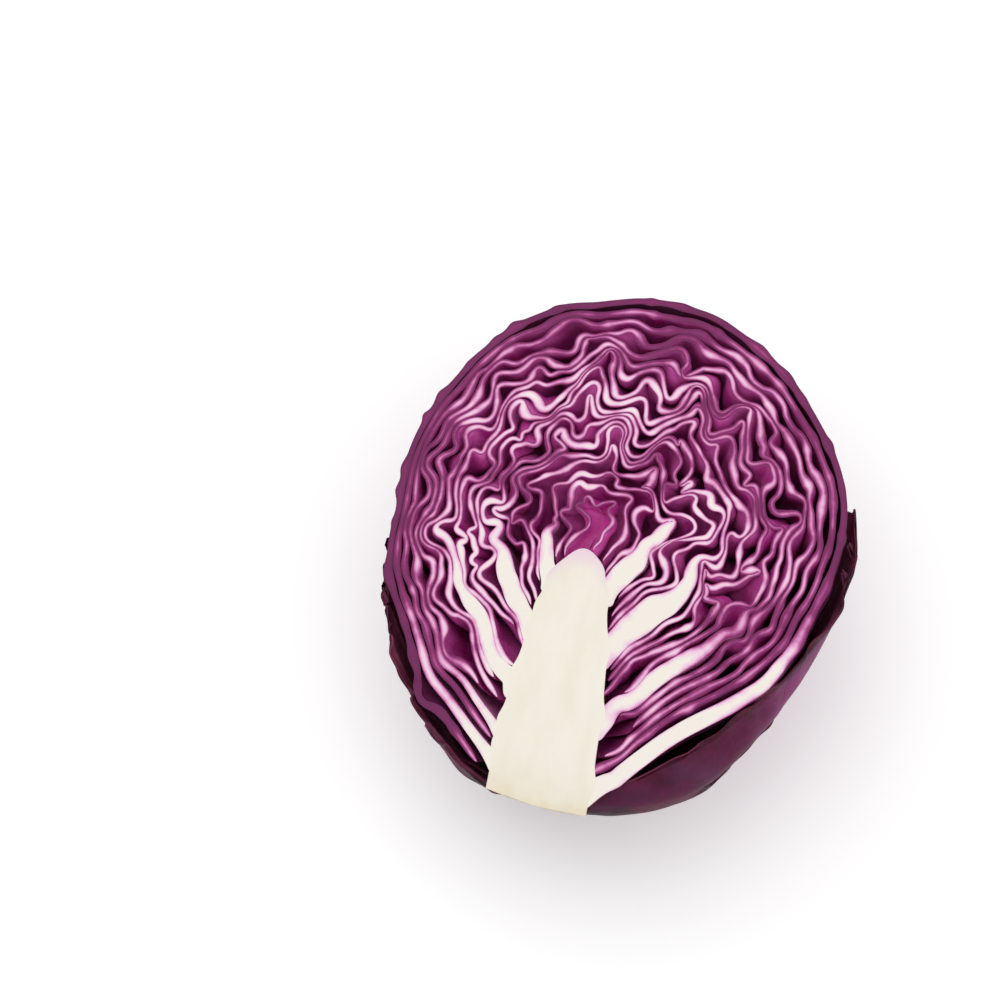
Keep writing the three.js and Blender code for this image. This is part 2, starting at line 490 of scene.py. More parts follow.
@dataclass(frozen=True)
class Patches:
    """Soft random patches in a finish.

    Args:
        scale: patches in a metre.
        low: how strong the noise is where a patch begins, 0 to 1.
        high: how strong it is where a patch is full.
        least: the value between patches.
        most: the value where a patch is full.
        detail: how many finer layers the noise has.
        stretch: the scale along each axis.
    """

    scale: float
    low: float = 0.3
    high: float = 0.7
    least: float = 0
    most: float = 1
    detail: float = 4
    stretch: tuple[float, float, float] = (1, 1, 1)


@dataclass(frozen=True)
class Grain:
    """Fine relief on a surface.

    Args:
        scale: bumps in a metre.
        depth: in metres.
        strength: how much of it shows, 0 to 1.
    """

    scale: float
    depth: float
    strength: float


@dataclass(frozen=True)
class FineVeins:
    """A net of fine veins on a surface.

    Args:
        scale: cells of the net in a metre.
        width: of a vein, as a share of a cell.
        strength: how much a vein shows, 0 to 1.
    """

    scale: float
    width: float
    strength: float


class Nodes:
    """A material's node tree, with short calls to add to it."""

    def __init__(self, name: str) -> None:
        """Starts a material with only a shader and an output.

        Args:
            name: of the material.
        """
        self.material = bpy.data.materials.new(name)
        self.material.use_nodes = True
        self.tree = self.material.node_tree
        self.shader = self.tree.nodes["Principled BSDF"]

    def add(self, kind: str, **settings: object) -> bpy.types.Node:
        """Adds a node.

        Args:
            kind: the node's type.
            **settings: properties of the node, by name.

        Returns:
            The node.
        """
        node = self.tree.nodes.new(kind)
        for key, value in settings.items():
            setattr(node, key, value)
        return node

    def link(self, source: Socket, target: Socket) -> None:
        """Joins two sockets."""
        self.tree.links.new(source, target)

    def mark(self, name: str) -> Socket:
        """The value that a mesh carries at its corners under a name."""
        return self.add("ShaderNodeAttribute", attribute_name=name).outputs["Fac"]

    def place(self) -> Socket:
        """The place on the object, in metres."""
        return self.add("ShaderNodeTexCoord").outputs["Object"]

    def noise(
        self, scale: float, detail: float = 4, stretch: tuple[float, float, float] = (1, 1, 1)
    ) -> Socket:
        """Soft noise, by the place on the object.

        Args:
            scale: patches in a metre.
            detail: how many finer layers they have.
            stretch: the scale along each axis.

        Returns:
            The noise, 0 to 1.
        """
        placing = self.add("ShaderNodeMapping")
        placing.inputs["Scale"].default_value = stretch
        self.link(self.place(), placing.inputs["Vector"])
        texture = self.add("ShaderNodeTexNoise")
        texture.inputs["Scale"].default_value = scale
        texture.inputs["Detail"].default_value = detail
        self.link(placing.outputs["Vector"], texture.inputs["Vector"])
        return texture.outputs["Fac"]

    def patches(self, kind: Patches) -> Socket:
        """The value of soft random patches."""
        noise = self.noise(kind.scale, kind.detail, kind.stretch)
        return self.fit(noise, kind.low, kind.high, kind.least, kind.most)

    def fine_veins(self, kind: FineVeins) -> Socket:
        """A net of fine veins between irregular cells.

        Args:
            kind: the net's sizes.

        Returns:
            The kind's strength on a vein, and 0 inside a cell.
        """
        texture = self.add("ShaderNodeTexVoronoi", feature="DISTANCE_TO_EDGE")
        texture.inputs["Scale"].default_value = kind.scale
        self.link(self.place(), texture.inputs["Vector"])
        return self.times(self.fit(texture.outputs["Distance"], 0, kind.width, 1, 0), kind.strength)

    def fit(self, value: Socket, low: float, high: float, to_low: float, to_high: float) -> Socket:
        """A value eased from one range into another, and held there.

        Args:
            value: the value.
            low: start of its own range.
            high: end of its own range.
            to_low: what it becomes at the start.
            to_high: what it becomes at the end.

        Returns:
            The eased value.
        """
        ranged = self.add("ShaderNodeMapRange", interpolation_type="SMOOTHSTEP")
        self.link(value, ranged.inputs["Value"])
        for key, number in (("From Min", low), ("From Max", high), ("To Min", to_low), ("To Max", to_high)):
            ranged.inputs[key].default_value = number
        return ranged.outputs["Result"]

    def times(self, a: Socket, b: Socket | float) -> Socket:
        """The product of two values.

        Args:
            a: a value.
            b: a value or a number.

        Returns:
            Their product.
        """
        product = self.add("ShaderNodeMath", operation="MULTIPLY")
        self.link(a, product.inputs[0])
        if isinstance(b, float):
            product.inputs[1].default_value = b
        else:
            self.link(b, product.inputs[1])
        return product.outputs["Value"]

    def ramp(self, value: Socket, stops: list[tuple[float, Colour]]) -> Socket:
        """A colour from a row of stops.

        Args:
            value: the place along the row, 0 to 1.
            stops: a place and a colour each.

        Returns:
            The colour.
        """
        node = self.add("ShaderNodeValToRGB")
        elements = node.color_ramp.elements
        while len(elements) < len(stops):
            elements.new(0.5)
        for element, (at, colour) in zip(elements, stops):
            element.position = at
            element.color = colour
        self.link(value, node.inputs["Fac"])
        return node.outputs["Color"]

    def blend(self, share: Socket, below: Colour | Socket, above: Colour | Socket) -> Socket:
        """A colour between two colours.

        Args:
            share: how much of the colour above shows.
            below: a colour, given or from a socket.
            above: a colour, given or from a socket.

        Returns:
            The colour.
        """
        node = self.add("ShaderNodeMix", data_type="RGBA")
        self.link(share, node.inputs["Factor"])
        colours = [socket for socket in node.inputs if socket.type == "RGBA"]
        for socket, colour in zip(colours, (below, above)):
            if isinstance(colour, tuple):
                socket.default_value = colour
            else:
                self.link(colour, socket)
        return next(socket for socket in node.outputs if socket.type == "RGBA")

    def relief(self, grain: Grain) -> None:
        """Adds fine relief to the surface.

        Args:
            grain: its sizes.
        """
        height = self.noise(grain.scale)
        node = self.add("ShaderNodeBump")
        node.inputs["Distance"].default_value = grain.depth
        node.inputs["Strength"].default_value = grain.strength
        self.link(height, node.inputs["Height"])
        self.link(node.outputs["Normal"], self.shader.inputs["Normal"])

    def surface(self, colour: Socket, **constants: object) -> bpy.types.Material:
        """Sets the surface's colour and the shader's constants.

        Args:
            colour: the surface's colour.
            **constants: the shader's other values, by name, with _ for a space.

        Returns:
            The finished material.
        """
        self.link(colour, self.shader.inputs["Base Color"])
        for key, value in constants.items():
            self.shader.inputs[key.replace("_", " ")].default_value = value
        return self.material


@dataclass(frozen=True)
class CutTissue:
    """The knife's cut through a leaf: purple at its two skins, then pink, and cream-white deep in a rib.

    Args:
        layers: colours by distance from the nearer skin, in millimetres, up to the deepest.
        patches: where a layer lies nearer the skin or further from it, from leaf to leaf.
        regions: the same over wider regions of the head.
        grain: the cut cells.
        roughness: of the wet cut.
        gloss: how much the cut reflects.
    """

    layers: tuple[tuple[float, Colour], ...] = (
        (0.0, tint(102, 20, 78)),
        (0.2, tint(140, 36, 106)),
        (0.36, tint(186, 88, 152)),
        (0.58, tint(224, 148, 196)),
        (1.1, tint(243, 206, 229)),
        (2.3, tint(245, 238, 228)),
    )
    patches: Patches = Patches(110, least=0.55, most=1.45)
    regions: Patches = Patches(38, 0.36, 0.64, 0.4, 1.35)
    grain: Grain = Grain(1800, 0.0002, 0.4)
    roughness: float = 0.36
    gloss: float = 0.25

    def material(self) -> bpy.types.Material:
        """Builds the material.

        Returns:
            The material.
        """
        nodes = Nodes("cut_tissue")
        deepest = self.layers[-1][0]
        thicker = nodes.times(nodes.patches(self.patches), nodes.patches(self.regions))
        depth = nodes.times(nodes.times(nodes.mark("flesh"), thicker), 1 / deepest)
        colour = nodes.ramp(depth, [(at / deepest, layer) for at, layer in self.layers])
        nodes.relief(self.grain)
        return nodes.surface(colour, Roughness=self.roughness, Specular_IOR_Level=self.gloss)


@dataclass(frozen=True)
class LeafSkin:
    """The skin of a leaf inside the head: purple to magenta, paler near its rib.

    Args:
        name: of the material.
        deep: the darker colour.
        light: the lighter colour.
        pale: the colour near a rib and on the veins.
        patches: where the lighter colour shows.
        veins: the net of fine veins.
        grain: the cells of the skin.
        roughness: of the skin.
        gloss: how much the skin reflects.
    """

    name: str = "leaf_skin"
    deep: Colour = tint(164, 34, 122)
    light: Colour = tint(206, 94, 172)
    pale: Colour = tint(222, 160, 200)
    patches: Patches = Patches(90, 0.3, 0.72)
    veins: FineVeins = FineVeins(160, 0.08, 0.05)
    grain: Grain = Grain(700, 0.0004, 0.5)
    roughness: float = 0.34
    gloss: float = 0.3

    def material(self) -> bpy.types.Material:
        """Builds the material.

        Returns:
            The material.
        """
        nodes = Nodes(self.name)
        skin = nodes.blend(nodes.patches(self.patches), self.deep, self.light)
        veined = nodes.blend(nodes.fine_veins(self.veins), skin, self.pale)
        coloured = nodes.blend(nodes.mark("pale"), veined, self.pale)
        nodes.relief(self.grain)
        return nodes.surface(coloured, Roughness=self.roughness, Specular_IOR_Level=self.gloss)


@dataclass(frozen=True)
class OuterSkin:
    """The skin of the outer leaves: dark purple under a lilac bloom, pink veins, and a darker edge colour
    that is painted shade, partly the leaf's own darker margin.

    Args:
        name: of the material.
        deep: the darker purple.
        mid: the lighter purple.
        bloom: the waxy bloom.
        vein: the veins.
        edge: the colour at the margin and the foot of a leaf, and just below the cut on the outermost head
            leaf; painted shade, partly the leaf's own darker margin.
        shade: the darkest patches there.
        purples: where the lighter purple shows.
        dust: where the bloom lies.
        dust_share: how much it covers.
        veins: the net of fine veins.
        shade_patches: where the darkest patches of the painted shade lie.
        mottle: how the dark margin and foot, painted shade, come and go.
        grain: the cells of the skin.
        roughness: of the skin.
        gloss: how much the skin reflects.
    """

    name: str = "outer_skin"
    deep: Colour = tint(98, 42, 78)
    mid: Colour = tint(144, 62, 118)
    bloom: Colour = tint(156, 98, 138)
    vein: Colour = tint(184, 80, 146)
    edge: Colour = tint(76, 14, 36)
    shade: Colour = tint(40, 10, 24)
    purples: Patches = Patches(28, 0.32, 0.7)
    dust: Patches = Patches(55, 0.4, 0.75, detail=6)
    dust_share: float = 0.5
    veins: FineVeins = FineVeins(150, 0.1, 0.1)
    shade_patches: Patches = Patches(55, 0.42, 0.6)
    mottle: Patches = Patches(70, 0.35, 0.6, 0.8, 1, detail=5)
    grain: Grain = Grain(500, 0.0005, 0.5)
    roughness: float = 0.55
    gloss: float = 0.12

    def material(self) -> bpy.types.Material:
        """Builds the material.

        Returns:
            The material.
        """
        nodes = Nodes(self.name)
        skin = nodes.blend(nodes.patches(self.purples), self.deep, self.mid)
        dusted = nodes.blend(nodes.times(nodes.patches(self.dust), self.dust_share), skin, self.bloom)
        netted = nodes.blend(nodes.fine_veins(self.veins), dusted, self.vein)
        veined = nodes.blend(nodes.mark("vein"), netted, self.vein)
        # Painted shade: where the edge mark lies, the skin turns to a dark colour with darker patches; at the
        # margin it is partly the leaf's own darker tone.
        edge = nodes.blend(nodes.patches(self.shade_patches), self.edge, self.shade)
        with_painted_shade = nodes.blend(nodes.times(nodes.mark("edge"), nodes.patches(self.mottle)), veined, edge)
        nodes.relief(self.grain)
        return nodes.surface(with_painted_shade, Roughness=self.roughness, Specular_IOR_Level=self.gloss)


@dataclass(frozen=True)
class CoreFlesh:
    """The cut core: cream-white with faint fibres along it, a pink tip, and drying at the stem end.

    Args:
        flesh: the flesh between the fibres.
        fibre: the fibres.
        rind: the rind round the tip.
        dried: the dried stem end.
        fibres: where the fibres lie.
        drying: how the dried colour comes and goes.
        grain: the cut cells.
        roughness: of the wet cut.
    """

    flesh: Colour = tint(244, 238, 226)
    fibre: Colour = tint(239, 232, 215)
    rind: Colour = tint(238, 212, 224)
    dried: Colour = tint(224, 208, 172)
    fibres: Patches = Patches(160, 0.3, 0.75, detail=3, stretch=(1, 0.25, 1))
    drying: Patches = Patches(260, 0.3, 0.7, 0.6, 1.1, detail=5)
    grain: Grain = Grain(900, 0.0002, 0.4)
    roughness: float = 0.4

    def material(self) -> bpy.types.Material:
        """Builds the material.

        Returns:
            The material.
        """
        nodes = Nodes("core_flesh")
        flesh = nodes.blend(nodes.patches(self.fibres), self.flesh, self.fibre)
        rinded = nodes.blend(nodes.mark("rind"), flesh, self.rind)
        drying = nodes.times(nodes.mark("dried"), nodes.patches(self.drying))
        nodes.relief(self.grain)
        return nodes.surface(nodes.blend(drying, rinded, self.dried), Roughness=self.roughness)


@dataclass
class Core:
    """The stem core, cut in half lengthwise, with a small swelling where each cut rib leaves it.

    Args:
        head: the shells, which give the core its size.
        swellings: side of the head and height along the core of each rib's foot.
        swelling: how far the core swells there.
        swelling_rise: how much higher than the rib's foot the swelling lies.
        swelling_length: how far it reaches along the core.
        swelling_turn: how far it reaches round the core, in radians.
        end_slope: how far the stem end slopes up towards the back of the head, as a share of the way there.
        end_lean: the same from left to right.
        end_round: how much higher the stem end is at its two sides.
        rind_depth: how deep the rind's colour shows on the cut.
        rind_start: height along the core where it comes in.
        tip_start: height along the core where it comes to cover the whole cut.
        dried: how dry the stem end is at its rim, 0 to 1.
        drying: how far the dryness reaches along the core.
        turn_steps: faces round the back.
        face_steps: faces across the cut.
        height_steps: corners along the core.
        smooth_angle: edges sharper than this, in degrees, stay sharp.
    """

    head: Head
    swellings: list[tuple[Side, float]]
    swelling: float = 1.3
    swelling_rise: float = 1
    swelling_length: float = 4.0
    swelling_turn: float = 0.4
    end_slope: float = 0.3
    end_lean: float = -0.12
    end_round: float = 1.2
    rind_depth: float = 2.5
    rind_start: Fade = Fade(70, 12)
    tip_start: Fade = Fade(78, 8)
    dried: float = 0.65
    drying: float = 6
    turn_steps: int = 36
    face_steps: int = 40
    height_steps: int = 90
    smooth_angle: float = 40

    def radius(self, v: Array, azimuth: Array) -> Array:
        """The core's radius at a height along it and an angle about it.

        Args:
            v: height along the core.
            azimuth: angle about it.

        Returns:
            The radius.
        """
        radius = self.head.core_at(v)
        for side, base in self.swellings:
            turned = azimuth if side is Side.RIGHT else PI - azimuth
            risen = bump(v - base - self.swelling_rise, self.swelling_length)
            radius = radius + self.swelling * risen * bump(turned, self.swelling_turn)
        return radius

    def rind(self, v: Array, inside: Array) -> Array:
        """How much of the rind's colour shows, by height along the core and distance from its surface."""
        return mix(np.exp(-inside / self.rind_depth), 1, self.tip_start.at(v)) * self.rind_start.at(v)

    def build(self) -> bpy.types.Object:
        """Builds the core: its round back, then its cut face, closed at the stem end and at the tip.

        Returns:
            The finished object.
        """
        v = self.head.core_height * np.sin(np.linspace(0, PI / 2, self.height_steps))[:, None]
        around = np.linspace(0, PI, self.turn_steps + 1)[None, :]
        radius = self.radius(v, around)
        radius[-1] = 0
        u, w = radius * np.cos(around), radius * np.sin(around)
        share = np.linspace(0, 1, self.face_steps + 1)[None, 1:]
        face_u = mix(u[:, -1:], u[:, :1], share)
        u, w = np.hstack([u, face_u]), np.hstack([w, np.zeros_like(face_u)])
        rind = self.rind(v, radius[:, :1] - np.hypot(u, w))
        dried = self.dried * np.exp(-v / self.drying) + 0 * u
        sloped = self.end_slope * w + self.end_lean * u
        sloped = sloped + self.end_round * (u / self.head.core_radius) ** 2
        v = v + sloped * (1 - v / self.head.core_height)
        u, v, w = (np.vstack([0 * grid[:1], grid]) for grid in (u, v, w))
        rind = np.vstack([rind[:1], rind])
        dried = np.vstack([1 + 0 * dried[:1], dried])
        points = self.head.laid_down(u, v, w) + self.head.shift()
        cut = slice(self.turn_steps, self.turn_steps + self.face_steps)
        return woven_piece("core_half", points * MM, {"rind": rind, "dried": dried}, cut, self.smooth_angle)


@dataclass(frozen=True)
class Rib:
    """A midrib that the cut goes through.

    Args:
        side: the side of the head it is on.
        half: half its thickness where it is thickest.
        end: height on the shell where it has thinned out.
    """

    side: Side
    half: float
    end: float


@dataclass(frozen=True)
class Spot:
    """A hollow between two leaves, or a side vein that the cut goes through.

    Args:
        u: its place across the cut.
        v: its place along the core.
        length: half its length along the leaves.
        half: half its width.
    """

    u: float
    v: float
    length: float
    half: float


@dataclass(frozen=True)
class Push:
    """A spot by its place among the shells, where it pushes the leaves apart.

    Args:
        shell: shell depth of its middle.
        along: its place along the cut edge.
        length: half its length, in the same measure.
        half: half its width.
        room: half its width, in shell depth.
    """

    shell: float
    along: float
    length: float
    half: float
    room: float


@dataclass(frozen=True)
class CutMap:
    """Where places on the shells come out on the cut face, as a grid of shells by places along the edge.

    Args:
        shells: shell depths.
        along: places along the cut edge.
        u: across the cut face.
        v: along the core.
    """

    shells: Array
    along: Array
    u: Array
    v: Array

    def nearest(self, spot: Spot) -> tuple[float, float, float]:
        """The place on the shells that comes out nearest to a spot.

        Args:
            spot: the spot on the cut face.

        Returns:
            Its shell depth, its place along the cut edge, and the millimetres there to a unit of place.
        """
        row, column = np.unravel_index(np.argmin(np.hypot(self.u - spot.u, self.v - spot.v)), self.u.shape)
        across, up = np.gradient(self.u[row]), np.gradient(self.v[row])
        pace = np.hypot(across[column], up[column]) / (self.along[1] - self.along[0])
        return float(self.shells[row]), float(self.along[column]), float(pace)


@dataclass(frozen=True)
class Swells:
    """Short thick places along a leaf, at random distances.

    Args:
        first: least and most distance from the leaf's end to the first one.
        gap: least and most distance from one to the next.
        height: least and most that the leaf is thicker there, as a share of its thickness.
        width: least and most that one reaches along the leaf.
    """

    first: tuple[float, float] = (3, 12)
    gap: tuple[float, float] = (7, 22)
    height: tuple[float, float] = (0.1, 1.4)
    width: tuple[float, float] = (1.0, 4.5)

    def thicken(self, rng: np.random.Generator, half: Array, run: Array) -> Array:
        """Half the thickness of a leaf, with the thick places added.

        Args:
            rng: source of the random draws.
            half: half the thickness without them.
            run: distance along the leaf.

        Returns:
            Half the thickness.
        """
        place = rng.uniform(*self.first)
        while place < run.max():
            height, width = rng.uniform(*self.height), rng.uniform(*self.width)
            half = half * (1 + height * bump(run - place, width))
            place += rng.uniform(*self.gap)
        return half


@dataclass(frozen=True)
class Sheet:
    """The crumpled middle of a leaf, as a grid of corners along the leaf by depth below the cut.

    Args:
        turn: how far each depth has turned from the cut towards the back of the head.
        u: across the cut face.
        v: along the core.
        w: down into the head.
        x: shell depth.
        along: place along the cut edge.
    """

    turn: Array
    u: Array
    v: Array
    w: Array
    x: Array
    along: Array

    def flat(self) -> Array:
        """u and v of the corners."""
        return np.stack([self.u, self.v], axis=-1)

    def run(self) -> Array:
        """Distance along the cut edge from the leaf's right end."""
        u, v = self.u[:, 0], self.v[:, 0]
        return np.cumsum(np.hypot(np.diff(u, prepend=u[0]), np.diff(v, prepend=v[0])))[:, None]

    def bends(self) -> Array:
        """How sharply the leaf bends, as one over its radius, above 0 where it bends inward."""
        du, dv = np.gradient(self.u, axis=0), np.gradient(self.v, axis=0)
        return (du * np.gradient(dv, axis=0) - dv * np.gradient(du, axis=0)) / (np.hypot(du, dv) ** 3 + 1e-9)

    def normals(self, level_depth: Fade) -> Array:
        """Directions across the leaf, which lie in the plane of the cut on the cut itself.

        Args:
            level_depth: how they turn to the leaf's own direction, by distance below the cut.

        Returns:
            A direction for each corner.
        """
        middle = np.stack([self.u, self.v, self.w], axis=-1)
        normal = unit(np.cross(np.gradient(middle, axis=0), np.gradient(middle, axis=1)))
        normal[..., 2] *= level_depth.at(self.w)
        return unit(normal)


class Draws(Enum):
    """What is drawn at random for the head leaves, each with the seed that its draws start from."""

    LUMPS = 7
    HOLLOWS = 41
    WANDER = 100
    SWELLS = 200
    KNIFE = 300
    STARTS = 500

    def rng(self, number: int = 0) -> np.random.Generator:
        """The source of the draws, for the whole head or for a leaf by its number."""
        return np.random.default_rng(self.value + number)


@dataclass
class HeadLeaves:
    """The leaves of the head, each a crumpled bowl of its own, pressed against its neighbours.

    Args:
        head: the shells that they lie on.
        count: number of leaves.
        first_shell: shell depth of the outermost leaf's middle.
        leaf_step: shell depth from one leaf to the next.
        rib_spread: how far a rib reaches round the head from the cut.
        rib_full: the share of its length over which a rib keeps its thickness.
        rib_start: height at which a rib begins, in the core, at the skin and at the eye.
        start: height at which a leaf begins at the back of the head.
        blade_start: least and most height at which a blade begins on the cut.
        corner_spacing: distance between corners along the cut edge.
        depths: distance of the rows of corners from the cut, along the leaf.
        skin_depths: the same for the outermost leaf.
        blade_half: half the thickness of a blade, at the skin and at the eye.
        swells: the thick places along a blade.
        blade_end: the share of its thickness that a blade keeps at its ends.
        blade_end_fade: how a blade gets its full thickness, by distance from its ends.
        end_round: how far the ends of a blade are rounded.
        fillet: how much thicker a rib is at its foot.
        fillet_length: how far from its foot a rib keeps that, and then loses it.
        foot_round: how far the foot of a rib is rounded.
        rib_room: how much more room than its own a rib makes.
        fill: the share of the way to the next leaf's middle that a blade and a rib may fill.
        bend_play: the share of a bend's radius that a blade and a rib may fill on its inner side.
        wander: how far a leaf wanders from its shell, as a share of the way to the next leaf.
        wandering: how that comes and goes along it.
        wander_shell: shell depth where leaves come to wander.
        wander_foot: place along the cut edge where a leaf comes to wander, from its foot.
        shorter: how much shorter the cut edge is at the eye than at the skin, as a share.
        drift: how far the wandering moves along a leaf from the cut to its back.
        lump: how far the firm head is lumpy near the skin, in shell depth.
        lumps: how that comes and goes round it.
        lump_mean: the middle of the lumps, above 0 where they press inwards.
        lump_turn: how far they reach towards the back.
        vein_turn: how far a side vein reaches towards the back.
        hollow_turn: how far a hollow does.
        skin_grip: shell depth where leaves come to fold freely.
        foot_grip: place along the cut edge where they do, from the foot.
        eye_grip: shell depth where they come to be held by the eye.
        eye_hold: how much it holds them.
        back_grip: sine of the turn at which the back of the head comes to hold them.
        rib_grip: height at which a rib comes to fold, as a share of its length, and over how much height.
        rib_grip_depth: how far from a rib's shell it holds the leaves.
        back_even: sine of the turn at which corners come to lie evenly by share.
        knife_play: how much lower than the cut face the knife has left a blade.
        knife_least: how much lower it has left everything.
        knife_depth: how far down that changes a leaf.
        knife: how it comes and goes along a leaf.
        flat_half: half a leaf's thickness where the head is pressed flat.
        level_depth: how the thickness turns to a leaf's own direction, by distance below the cut.
        flesh: how much of the flesh shows at the skin and at the eye.
        flesh_fade: how that changes with shell depth.
        skin_flesh: the share of it that shows in the leaves nearest the skin.
        skin_flesh_fade: how that changes with shell depth.
        foot_flesh: how much more shows at a leaf's foot, and how far from there.
        rib_flesh: how much more shows in a rib than in a blade.
        rib_rim: how much shows at a rib's two faces, along it and at its foot.
        rib_rim_foot: how far from the foot a rib's faces keep that, and over how far they lose it.
        edge_depth: how far below the cut a leaf's face still counts as near it; there the outermost leaf's
            outer skin is darkened with painted shade.
        smoothing: number of corners that a leaf's shape is evened out over.
        smooth_angle: edges sharper than this, in degrees, stay sharp.
        crush: the swirls that fold the leaves.
        ribs: the midribs that the cut goes through, by the leaf's number.
        hollows: the hollows between leaves.
        side_veins: the side veins that the cut goes through.
        scattered: number of small hollows at random places.
        scattered_leaves: the first leaf that may have one under it, and the one after the last.
        scattered_along: least and most place of those along the cut edge.
        scattered_length: least and most of half their length, in the same measure.
        scattered_room: least and most of half their width, in shell depth.
        pushes: all the hollows, by their place on the shells.
        veins: the side veins, by their place on the shells.
    """

    head: Head
    count: int = 18
    first_shell: float = 0.078
    leaf_step: float = 0.0513
    rib_spread: float = math.radians(24)
    rib_full: float = 0.3
    rib_start: tuple[float, float] = (-0.05, -0.14)
    start: float = 0.02
    blade_start: tuple[float, float] = (-0.03, 0.14)
    corner_spacing: float = 0.6
    depths: tuple[float, ...] = (0, 0.5, 1.3, 2.6, 4.6, 7.5, 12, 20, 36, 70)
    skin_depths: tuple[float, ...] = (0, 0.6, 2, 4, 7, 11, 16, 22, 29, 37, 46, 56, 68, 84, 104, 130, 165)
    blade_half: tuple[float, float] = (1.1, 0.6)
    swells: Swells = Swells()
    blade_end: float = 0.6
    blade_end_fade: Fade = Fade(0, 5)
    end_round: float = 1.2
    fillet: float = 2.0
    fillet_length: float = 4
    foot_round: float = 3
    rib_room: float = 0.4
    fill: tuple[float, float] = (0.46, 0.8)
    bend_play: tuple[float, float] = (0.75, 3)
    wander: float = 0.46
    wandering: Wave = Wave(10, 32, 9)
    wander_shell: Fade = Fade(0.08, 0.2)
    wander_foot: Fade = Fade(0.15, 0.5)
    shorter: float = 0.85
    drift: float = 20
    lump: float = 0.012
    lumps: Wave = Wave(35, 80, 5)
    lump_mean: float = 0.6
    lump_turn: float = 0.6
    vein_turn: float = 0.3
    hollow_turn: float = 0.5
    skin_grip: Fade = Fade(0.08, 0.44)
    foot_grip: Fade = Fade(0.1, 0.6)
    eye_grip: Fade = Fade(0.72, 0.2)
    eye_hold: float = 0.7
    back_grip: Fade = Fade(0.35, 0.5)
    rib_grip: tuple[float, float] = (0.6, 0.4)
    rib_grip_depth: float = 0.05
    back_even: Fade = Fade(0.3, 0.5)
    knife_play: float = 0.45
    knife_least: float = 0.05
    knife_depth: float = 3
    knife: Wave = Wave(8, 30, 5)
    flat_half: float = 0.2
    level_depth: Fade = Fade(0, 6)
    flesh: tuple[float, float] = (0.36, 1.3)
    flesh_fade: Fade = Fade(0.08, 0.55)
    skin_flesh: float = 0.2
    skin_flesh_fade: Fade = Fade(0.06, 0.12)
    foot_flesh: tuple[float, float] = (0.8, 7)
    rib_flesh: float = 2.2
    rib_rim: tuple[float, float] = (0.5, 2.4)
    rib_rim_foot: tuple[float, float] = (6, 7)
    edge_depth: float = 5
    smoothing: int = 7
    smooth_angle: float = 55
    crush: tuple[Swirls, ...] = (
        Swirls(11, 12, (26, 44), 34, 4.2, 8),
        Swirls(12, 14, (15, 26), 28, 3.2, 8),
        Swirls(13, 16, (8, 12), 22, 0.6, 3),
    )
    ribs: dict[int, Rib] = field(
        default_factory=lambda: {
            1: Rib(Side.RIGHT, 2.7, 0.95),
            2: Rib(Side.LEFT, 1.5, 0.7),
            4: Rib(Side.LEFT, 1.1, 0.5),
            6: Rib(Side.RIGHT, 2.9, 0.75),
            8: Rib(Side.LEFT, 2.5, 1.0),
            11: Rib(Side.RIGHT, 5.2, 0.9),
            12: Rib(Side.LEFT, 3.1, 1.1),
            15: Rib(Side.RIGHT, 3.6, 1.4),
            16: Rib(Side.LEFT, 2.2, 1.1),
        }
    )
    hollows: tuple[Spot, ...] = (
        Spot(52, 80, 8, 5.5),
        Spot(51, 108, 7, 3.8),
        Spot(22, 27, 5, 3.5),
        Spot(23, 45, 7, 3.5),
        Spot(-36, 48, 8, 5),
        Spot(-20, 51, 8, 5),
        Spot(-15, 35, 4, 2.5),
        Spot(-28, 76, 7, 2.5),
        Spot(-56, 87, 4, 2),
        Spot(-14, 95, 6, 3.5),
        Spot(2, 104, 7, 2.5),
        Spot(14, 107, 5, 2.5),
        Spot(-25, 104, 5, 3),
        Spot(-35, 128, 6, 4),
        Spot(-12, 136, 5, 2),
        Spot(40, 127, 6, 2),
        Spot(-18, 156, 8, 3.6),
        Spot(26, 157, 8, 3.2),
    )
    side_veins: tuple[Spot, ...] = (
        Spot(-28, 130, 4, 2.2),
        Spot(-14, 125, 3, 2.4),
        Spot(17, 131, 8, 1.7),
        Spot(48, 131, 9, 1.8),
        Spot(2, 148, 4, 1.6),
        Spot(17, 112, 4, 1.8),
        Spot(-2, 109, 3, 1.6),
        Spot(53, 101, 4, 1.4),
        Spot(-16, 141, 14, 1.4),
        Spot(-28, 96, 6, 1.7),
        Spot(28, 87, 5, 1.6),
        Spot(52, 72, 6, 1.3),
        Spot(-43, 84, 6, 1.7),
    )
    scattered: int = 16
    scattered_leaves: tuple[int, int] = (3, 17)
    scattered_along: tuple[float, float] = (0.4, 3.6)
    scattered_length: tuple[float, float] = (0.05, 0.11)
    scattered_room: tuple[float, float] = (0.02, 0.045)
    pushes: list[Push] = field(init=False)
    veins: list[Push] = field(init=False)

    def __post_init__(self) -> None:
        """Finds the hollows and veins among the shells, and adds small hollows here and there."""
        innermost, shell_count, place_count = 0.97, 140, 801
        shells = np.linspace(self.first_shell, innermost, shell_count)[:, None]
        along = np.linspace(0, 4, place_count)[None, :]
        azimuth, height = self.head.on_arc(along, 0 * along)
        u, v, w = self.head.on_shell(self.beside_ribs(shells, along, 0 * along), azimuth, height)
        for swirls in self.crush:
            u, v = swirls.carry(u, v, w, self.grip(shells, along, 0 * along))
        cut = CutMap(shells[:, 0], along[0], u, v)
        rng = Draws.HOLLOWS.rng()
        scattered = [
            Push(
                shell=self.shell_of(int(rng.integers(*self.scattered_leaves)) + 0.5),
                along=float(rng.uniform(*self.scattered_along)),
                length=float(rng.uniform(*self.scattered_length)),
                half=0,
                room=float(rng.uniform(*self.scattered_room)),
            )
            for _ in range(self.scattered)
        ]
        self.pushes = [self.found(cut, spot, 0.5) for spot in self.hollows] + scattered
        self.veins = [self.found(cut, spot, 0) for spot in self.side_veins]

